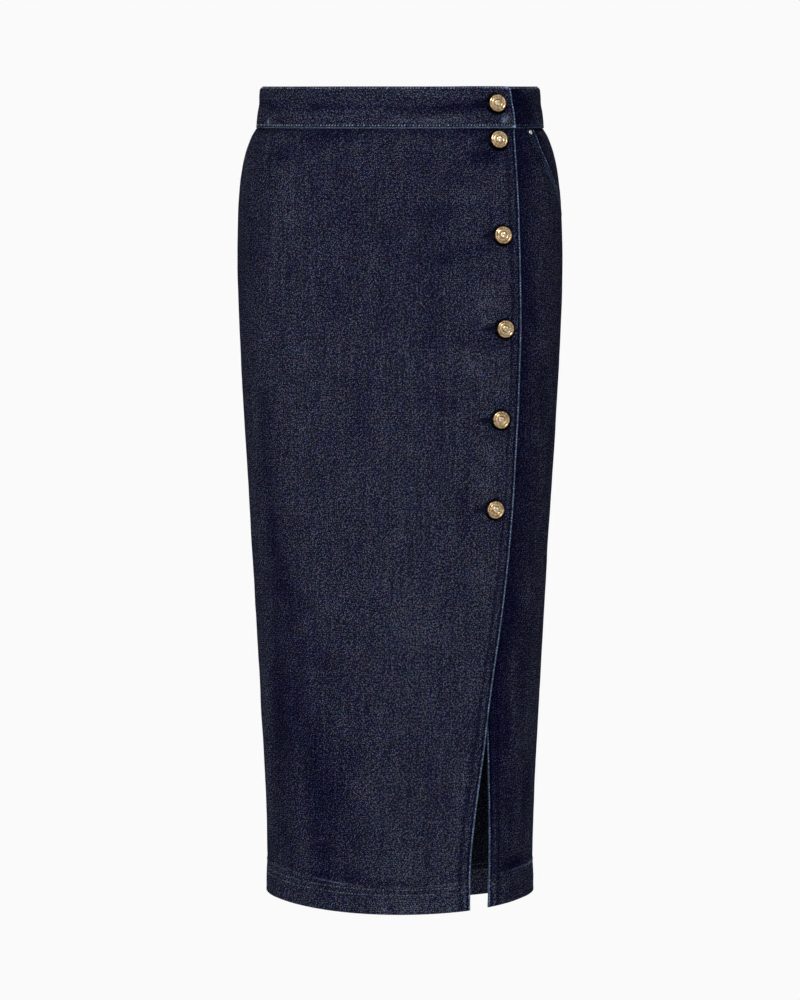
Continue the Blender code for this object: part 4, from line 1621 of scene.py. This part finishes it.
def turned_mesh(name, profile, steps, relief, place, finish):
    """A solid of revolution from (radius, height, hollow) rows, with a relief over its turn."""
    rows = np.array(profile, float)
    turn = 2 * np.pi * np.arange(steps) / steps
    radius, height = rows[:, 0, None], rows[:, 1, None]
    height = height + relief(radius, height, turn)
    ring = np.stack((radius * np.cos(turn), radius * np.sin(turn), height + 0 * turn), -1)
    points = np.concatenate((ring[1:-1].reshape(-1, 3), ring[0, :1], ring[-1, :1]))
    hollow = np.concatenate((np.repeat(rows[1:-1, 2], steps), rows[[0, -1], 2]))
    rings = len(rows) - 2
    first, last = rings * steps, rings * steps + 1
    faces = []
    for side in range(steps):
        after = (side + 1) % steps
        faces.append((first, side, after))
        for row in range(rings - 1):
            upper, lower = row * steps, (row + 1) * steps
            faces.append((upper + side, lower + side, lower + after, upper + after))
        bottom = (rings - 1) * steps
        faces.append((bottom + side, last, bottom + after))
    places = [tuple(place @ Vector(point * MM)) for point in points]
    made = put_in_scene(name, smooth_mesh(name, places, faces, {"hollow": hollow}), [finish])
    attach(made, "root")
    return made


def rounded(corners, steps=3, reach=0.32):
    """A profile with each inner corner cut by a short curve."""
    made = [corners[0]]
    for before, corner, after in zip(corners, corners[1:], corners[2:]):
        before, corner, after = (np.array(item, float) for item in (before, corner, after))
        start, end = corner + (before - corner) * reach, corner + (after - corner) * reach
        for t in np.linspace(0, 1, steps + 1):
            made.append(tuple((1 - t) ** 2 * start + 2 * t * (1 - t) * corner + t**2 * end))
    return [*made, corners[-1]]


def button_profile(lift, wall):
    """Cap with a rolled rim, a milled ring and a plain boss, then shank, nail and tack."""
    under = lift + CAP_CLEARANCE
    top = under + CAP_HEIGHT
    tack = -wall - TACK_CLEARANCE
    # The third column darkens the metal: tarnish in the grooves, and painted shade on the rim's
    # outer edge, the cap's underside, the shank and the nail.
    cap = [
        (0.0, top, 0.0),
        (1.5, top - 0.05, 0.0),
        (2.9, top - 0.25, 0.0),
        (3.5, top - 0.75, 1.0),
        (4.2, top - 0.35, 0.1),
        (5.2, top - 0.45, 0.3),
        (6.2, top - 0.7, 0.2),
        (6.7, top - 1.25, 0.8),
        (7.3, top - 0.85, 0.1),
        (8.1, top - 1.0, 0.45),
        (8.8, top - 1.6, 1.0),
        (CAP_RADIUS, top - 2.3, 1.2),
        (CAP_RADIUS - 0.3, under + 0.3, 1.2),
        (CAP_RADIUS - 1.2, under, 1.0),
    ]
    stem = [
        (SHANK_RADIUS, under, 1.0),
        (SHANK_RADIUS, LAYER_GAP, 1.0),
        (NAIL_RADIUS, LAYER_GAP, 1.0),
        (NAIL_RADIUS, tack, 0.3),
        (TACK_RADIUS, tack, 0.3),
        (TACK_RADIUS, tack - 0.6, 0.1),
        (TACK_RADIUS - 1.0, tack - TACK_HEIGHT, 0.0),
        (0.0, tack - TACK_HEIGHT, 0.0),
    ]
    return [*rounded(cap), *stem]


def milled(top):
    """Fine ribs round the ring between the boss and the rim, and a plain petalled boss."""

    def relief(radius, height, turn):
        on_cap = height > top - 1.3
        ring = bell(radius - 5.2, 0.8) * on_cap
        boss = bell(radius - 1.7, 0.7) * on_cap
        return 0.12 * ring * np.cos(40 * turn) + 0.12 * boss * np.cos(8 * turn)

    return relief


def plain(radius, height, turn):
    return 0 * turn


def make_buttons(brass):
    """The six tack buttons, each turned its own way."""
    for number, button in enumerate(BUTTONS, start=1):
        table = button_table(button)
        place = placement(table, button.level, button.across)
        angle = angle_across(table, np.array(button.level), button.across)
        lift = BAND_LIFT if button.on_band else float(over_lift(angle, np.array(button.level)))
        wall = BAND_WALL if button.on_band else WALL
        place = place @ Matrix.Rotation(math.radians(-CAP_TURN), 4, "Y")
        place = place @ Matrix.Rotation(math.radians(BUTTON_TURN * number), 4, "Z")
        top = lift + CAP_CLEARANCE + CAP_HEIGHT
        name = f"tack_button_{number}"
        profile = button_profile(lift, wall)
        made = turned_mesh(name, profile, CAP_STEPS, milled(top), place, brass)
        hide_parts(f"button_{number}")


def make_rivet(nickel):
    """A low head with a dished middle, its post and the burr inside."""
    inside = -WALL - POCKET_SINK - SEAM_GAP
    # The third column darkens the metal: tarnish in the dished middle, and painted shade under the
    # head, on the post and on the burr.
    head = [
        (0.0, SEAM_GAP + RIVET_HEIGHT - 0.15, 0.3),
        (0.7, SEAM_GAP + RIVET_HEIGHT - 0.1, 0.2),
        (1.2, SEAM_GAP + RIVET_HEIGHT, 0.0),
        (1.9, SEAM_GAP + 0.65, 0.0),
        (RIVET_RADIUS, SEAM_GAP + 0.3, 0.2),
        (RIVET_RADIUS, SEAM_GAP, 0.8),
    ]
    stem = [
        (RIVET_POST, SEAM_GAP, 1.0),
        (RIVET_POST, inside, 1.0),
        (RIVET_RADIUS - 0.3, inside, 0.5),
        (RIVET_RADIUS - 0.3, inside - 0.5, 0.0),
        (0.0, inside - 0.7, 0.0),
    ]
    place = placement(BODY, RIVET_LEVEL, RIVET_ACROSS)
    profile = [*rounded(head), *stem]
    made = turned_mesh("mouth_rivet", profile, RIVET_STEPS, plain, place, nickel)
    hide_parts("pocket_rivet")


# ---------------------------------------------------------------- buttonhole threads


def buttonhole_rows():
    """Short stitches side by side round each keyhole, over its edge."""
    centres, forwards, outs = [], [], []
    for button in BUTTONS:
        table = button_table(button)
        cloth = BAND_CLOTH if button.on_band else OVER
        outline = np.array(keyhole_outline())
        closed = np.concatenate((outline, outline[:1]))
        along = along_line(closed)
        places = np.arange(0.0, along[-1], HOLE_PITCH)
        spot = at_places(places, along, closed)
        run = unit(at_places(places + 0.05, along, closed) - spot + 1e-9)
        side = np.stack((run[:, 1], -run[:, 0]), -1)
        spot = spot + side * HOLE_REACH
        level = button.level + spot[:, 1]
        across = button.across + spot[:, 0]
        angle = angle_across(table, level, across)
        if button.on_band:
            angle = angle + 360
        points, _ = cloth_points(cloth, angle, level)
        normals = cloth_normals(cloth, angle, level)
        _, right, up, _ = frames_at(table, angle, level)
        centres.append(points - 0.05 * normals)
        forwards.append(unit(side[:, :1] * right + side[:, 1:] * up))
        outs.append(normals)
    return [(np.concatenate(centres), np.concatenate(forwards), np.concatenate(outs))]


# ---------------------------------------------------------------- the skirt


def make_skirt():
    indigo = thread("indigo_thread", *INDIGO_THREAD)
    pale_blue = thread("edge_thread", *EDGE_THREAD)
    white = thread("white_thread", *WHITE_THREAD)
    brass = metal("satin_gold", *SATIN_GOLD, roughness=0.26)
    nickel = metal("nickel", *NICKEL, roughness=0.28)
    make_cloth()
    make_buttons(brass)
    make_rivet(nickel)
    make_stitches(indigo, pale_blue, white)


def make_cloth():
    """The seven pieces of cloth, each in place of its CAD solid."""
    outside = denim("denim_face", FACE_WARP, FACE_WEFT)
    reverse = denim("denim_reverse", REVERSE_WARP, REVERSE_WEFT, lean=-1.0)
    bag_cotton = cotton("pocket_cotton")
    denims, cottons = (outside, reverse), (bag_cotton, bag_cotton)

    # Steps across: the piece's rough width, then how wide its fine strips are at both borders.
    levels = hem_levels()
    wide = stepped(330, 10, FINE_STRIP + 2)
    narrow = stepped(140, FINE_STRIP, FINE_STRIP)
    half_back = stepped(210, 8, 8)
    hip_steps = stepped(70, 3, 3, FINE_STEP, 2.0)
    bag_steps = stepped(60, 3, 3, FINE_STEP, 3.0)
    band_steps = stepped(826, 6, 34, 1.3, 2.4)
    band_levels = BAND_TOP + (BAND_SEAM - BAND_TOP) * stepped(42.7, 60, 60, 1.25)

    over_holes = keyhole_cutter("over_holes", [b for b in BUTTONS if not b.on_band])
    band_hole = keyhole_cutter("band_hole", [b for b in BUTTONS if b.on_band])
    over = cloth_piece(
        "over_front", OVER, (right_side, over_edge), levels, wide,
        over_wear, WALL, denims, over_holes,
    )
    under = cloth_piece(
        "under_front", UNDER, (under_edge, pocket_mouth), levels, narrow,
        under_wear, WALL, denims,
    )
    left = cloth_piece(
        "back_left", BACKS, (back_left_side, back_left_centre), levels, half_back,
        hem_wear, WALL, denims,
    )
    right = cloth_piece(
        "back_right", BACKS, (back_right_centre, back_right_side), levels, half_back,
        hem_wear, WALL, denims,
    )
    hip = cloth_piece(
        "hip_piece", HIP, (hip_front_edge, left_side), cloth_levels(WAIST, HIP_BOTTOM), hip_steps,
        no_wear, WALL, denims,
    )
    bag = cloth_piece(
        "bag", POCKET_BAG, (bag_front_edge, bag_back_edge), cloth_levels(BAG_TOP, BAG_BOTTOM),
        bag_steps, no_wear, WALL, cottons,
    )
    band = cloth_piece(
        "band", BAND_CLOTH, (band_under_end, band_over_end), band_levels, band_steps,
        band_wear, BAND_WALL, denims, band_hole,
    )
    for piece, node in (
        (over, "front_over_panel"),
        (under, "front_under_panel"),
        (left, "back_panel_left"),
        (right, "back_panel_right"),
        (hip, "pocket_hip_piece"),
        (bag, "pocket_bag"),
        (band, "waistband"),
    ):
        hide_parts(node)
    for cutter in (over_holes, band_hole):
        bpy.data.objects.remove(cutter)


def make_stitches(indigo, pale_blue, white):
    make_band_stitches(pale_blue, white)
    make_edge_stitches(indigo, pale_blue)
    make_hem_stitches(indigo)
    stitched("buttonhole_stitches", buttonhole_rows(), indigo, pale=0.0)


def make_band_stitches(pale_blue, white):
    """A row along the band's seam, in two pieces where the ends lap, one at its top and its end."""
    first, last = float(band_under_end(np.array(0.0))), float(band_over_end(np.array(0.0)))
    angle = np.linspace(first + 1, last - 1, 2400)
    shown = row_on(BAND_CLOTH, angle[angle > 90], BAND_SEAM_ROW)
    under = row_on(BAND_CLOTH, angle[angle <= 90], BAND_SEAM_ROW)
    top = row_on(BAND_CLOTH, angle, BAND_TOP_ROW)
    end = edge_stitches(BAND_CLOTH, band_over_end, BAND_TOP - 2, BAND_SEAM + 2, -EDGE_ROW)
    stitched("band_seam_stitches", [shown], white, pale=0.9, girth=1.4, slant=SEAM_SLANT)
    stitched("band_under_stitches", [under], pale_blue, pale=0.35, girth=1.2, slant=SEAM_SLANT)
    stitched("band_top_stitches", [top], white, pale=0.8, girth=1.4, slant=TOP_SLANT)
    stitched("band_end_stitches", [end], pale_blue, pale=1.2, girth=1.5)


def make_edge_stitches(indigo, pale_blue):
    """Two rows along each front edge and along the pocket's mouth."""
    top, bottom = WAIST - 1, HEM + 2
    for name, cloth, border, inward in (
        ("over", OVER, over_edge, -1),
        ("under", UNDER, under_edge, 1),
    ):
        beads = edge_stitches(cloth, border, top, bottom, inward * EDGE_ROW)
        inner = edge_stitches(cloth, border, top, bottom, inward * INNER_ROW)
        stitched(f"{name}_edge_stitches", [beads], pale_blue, pale=1.0, girth=1.3)
        stitched(f"{name}_inner_stitches", [inner], indigo, pale=0.10)
    for name, row, pale in (("edge", EDGE_ROW, 0.7), ("inner", POCKET_ROW, 0.35)):
        mouth = edge_stitches(UNDER, pocket_mouth, top, MOUTH_BOTTOM + 9, -row)
        stitched(f"pocket_{name}_stitches", [mouth], pale_blue, pale, girth=1.2)


def make_hem_stitches(indigo):
    """The turn-up's rows on each panel, outside and inside."""
    for name, cloth, first, last, pale in (
        ("over", OVER, right_side, over_edge, 0.7),
        ("under", UNDER, under_edge, left_side, 0.15),
        ("back_left", BACKS, back_left_side, back_left_centre, 0.5),
        ("back_right", BACKS, back_right_centre, back_right_side, 0.5),
    ):
        rows = []
        for level in HEM_ROWS:
            here = np.array(level)
            angle = np.linspace(float(first(here)) + 0.6, float(last(here)) - 0.6, 700)
            rows.append(row_on(cloth, angle, level))
            rows.append(row_on(cloth, angle, level, TURN_UP_WALL))
        stitched(f"{name}_hem_stitches", rows, indigo, pale, girth=1.3)


# ---------------------------------------------------------------- studio

FLOOR_LEVEL = -1200.0
FLOOR_RADIUS = 2500.0
FLOOR_GREYS = [(0.3, (0.78, 0.78, 0.78)), (0.7, (0.82, 0.82, 0.82))]
CAMERA_PLACE = (0.1, -5000.0, -400.0)
SENSOR = 36.0
LENS = 176.94
CLIP_END = 50.0
BACKDROP = 0.956
AMBIENT = 0.10
REFLECTED = 0.55
LAMPS_AIM = (0.0, 0.0, -400.0)
# Round lamps: place in millimetres, width in metres, and watts.
LAMPS = (
    ("key", (-250.0, -3350.0, 2100.0), 1.0, 85.0),
    ("fill", (-1500.0, -3600.0, -300.0), 2.0, 9.0),
    ("front", (300.0, -4600.0, -150.0), 0.5, 4.0),
    ("back_left", (1000.0, 3000.0, 1300.0), 1.5, 45.0),
    ("back_right", (-1000.0, 3000.0, 1300.0), 1.5, 45.0),
)


def make_floor():
    disc = bmesh.new()
    bmesh.ops.create_circle(disc, cap_ends=True, segments=96, radius=FLOOR_RADIUS * MM)
    mesh = bpy.data.meshes.new("floor")
    disc.to_mesh(mesh)
    disc.free()
    nodes = Nodes("pale_floor")
    pale = nodes.ramp(nodes.noise(nodes.object_place(), 6.0, 3.0, 0.5), FLOOR_GREYS)
    nodes.set(nodes.shader, {"Base Color": pale, "Roughness": 0.8})
    floor = put_in_scene("floor", mesh, [nodes.material])
    floor.location.z = FLOOR_LEVEL * MM


def make_world():
    """The camera sees a pale backdrop, gloss a softer one, and the rest a dim one."""
    world = bpy.data.worlds.new("studio")
    bpy.context.scene.world = world
    world.use_nodes = True
    tree = world.node_tree
    tree.nodes.clear()

    def background(grey, strength):
        node = tree.nodes.new("ShaderNodeBackground")
        node.inputs["Color"].default_value = (grey, grey, grey, 1.0)
        node.inputs["Strength"].default_value = strength
        return node.outputs[0]

    def chosen(ray, other, wanted):
        node = tree.nodes.new("ShaderNodeMixShader")
        for socket, value in zip(node.inputs, (ray, other, wanted)):
            tree.links.new(value, socket)
        return node.outputs[0]

    rays = tree.nodes.new("ShaderNodeLightPath").outputs
    gloss = chosen(rays["Is Glossy Ray"], background(1.0, AMBIENT), background(1.0, REFLECTED))
    seen = chosen(rays["Is Camera Ray"], gloss, background(BACKDROP, 1.0))
    output = tree.nodes.new("ShaderNodeOutputWorld")
    tree.links.new(seen, output.inputs["Surface"])


def make_lamps():
    for name, place, width, watts in LAMPS:
        lamp = bpy.data.lights.new(name, "AREA")
        lamp.shape = "DISK"
        lamp.size = width
        lamp.energy = watts
        made = put_in_scene(name, lamp)
        made.location = Vector(place) * MM
        aim = Vector(LAMPS_AIM) * MM - made.location
        made.rotation_euler = aim.to_track_quat("-Z", "Y").to_euler()


def make_camera():
    lens = bpy.data.cameras.new("camera")
    lens.sensor_width = SENSOR
    lens.lens = LENS
    lens.clip_end = CLIP_END
    camera = put_in_scene("camera", lens)
    camera.location = Vector(CAMERA_PLACE) * MM
    camera.rotation_euler = (math.radians(90), 0, 0)
    bpy.context.scene.camera = camera
    bpy.context.scene.view_settings.view_transform = "Standard"


make_skirt()
make_floor()
make_world()
make_lamps()
make_camera()
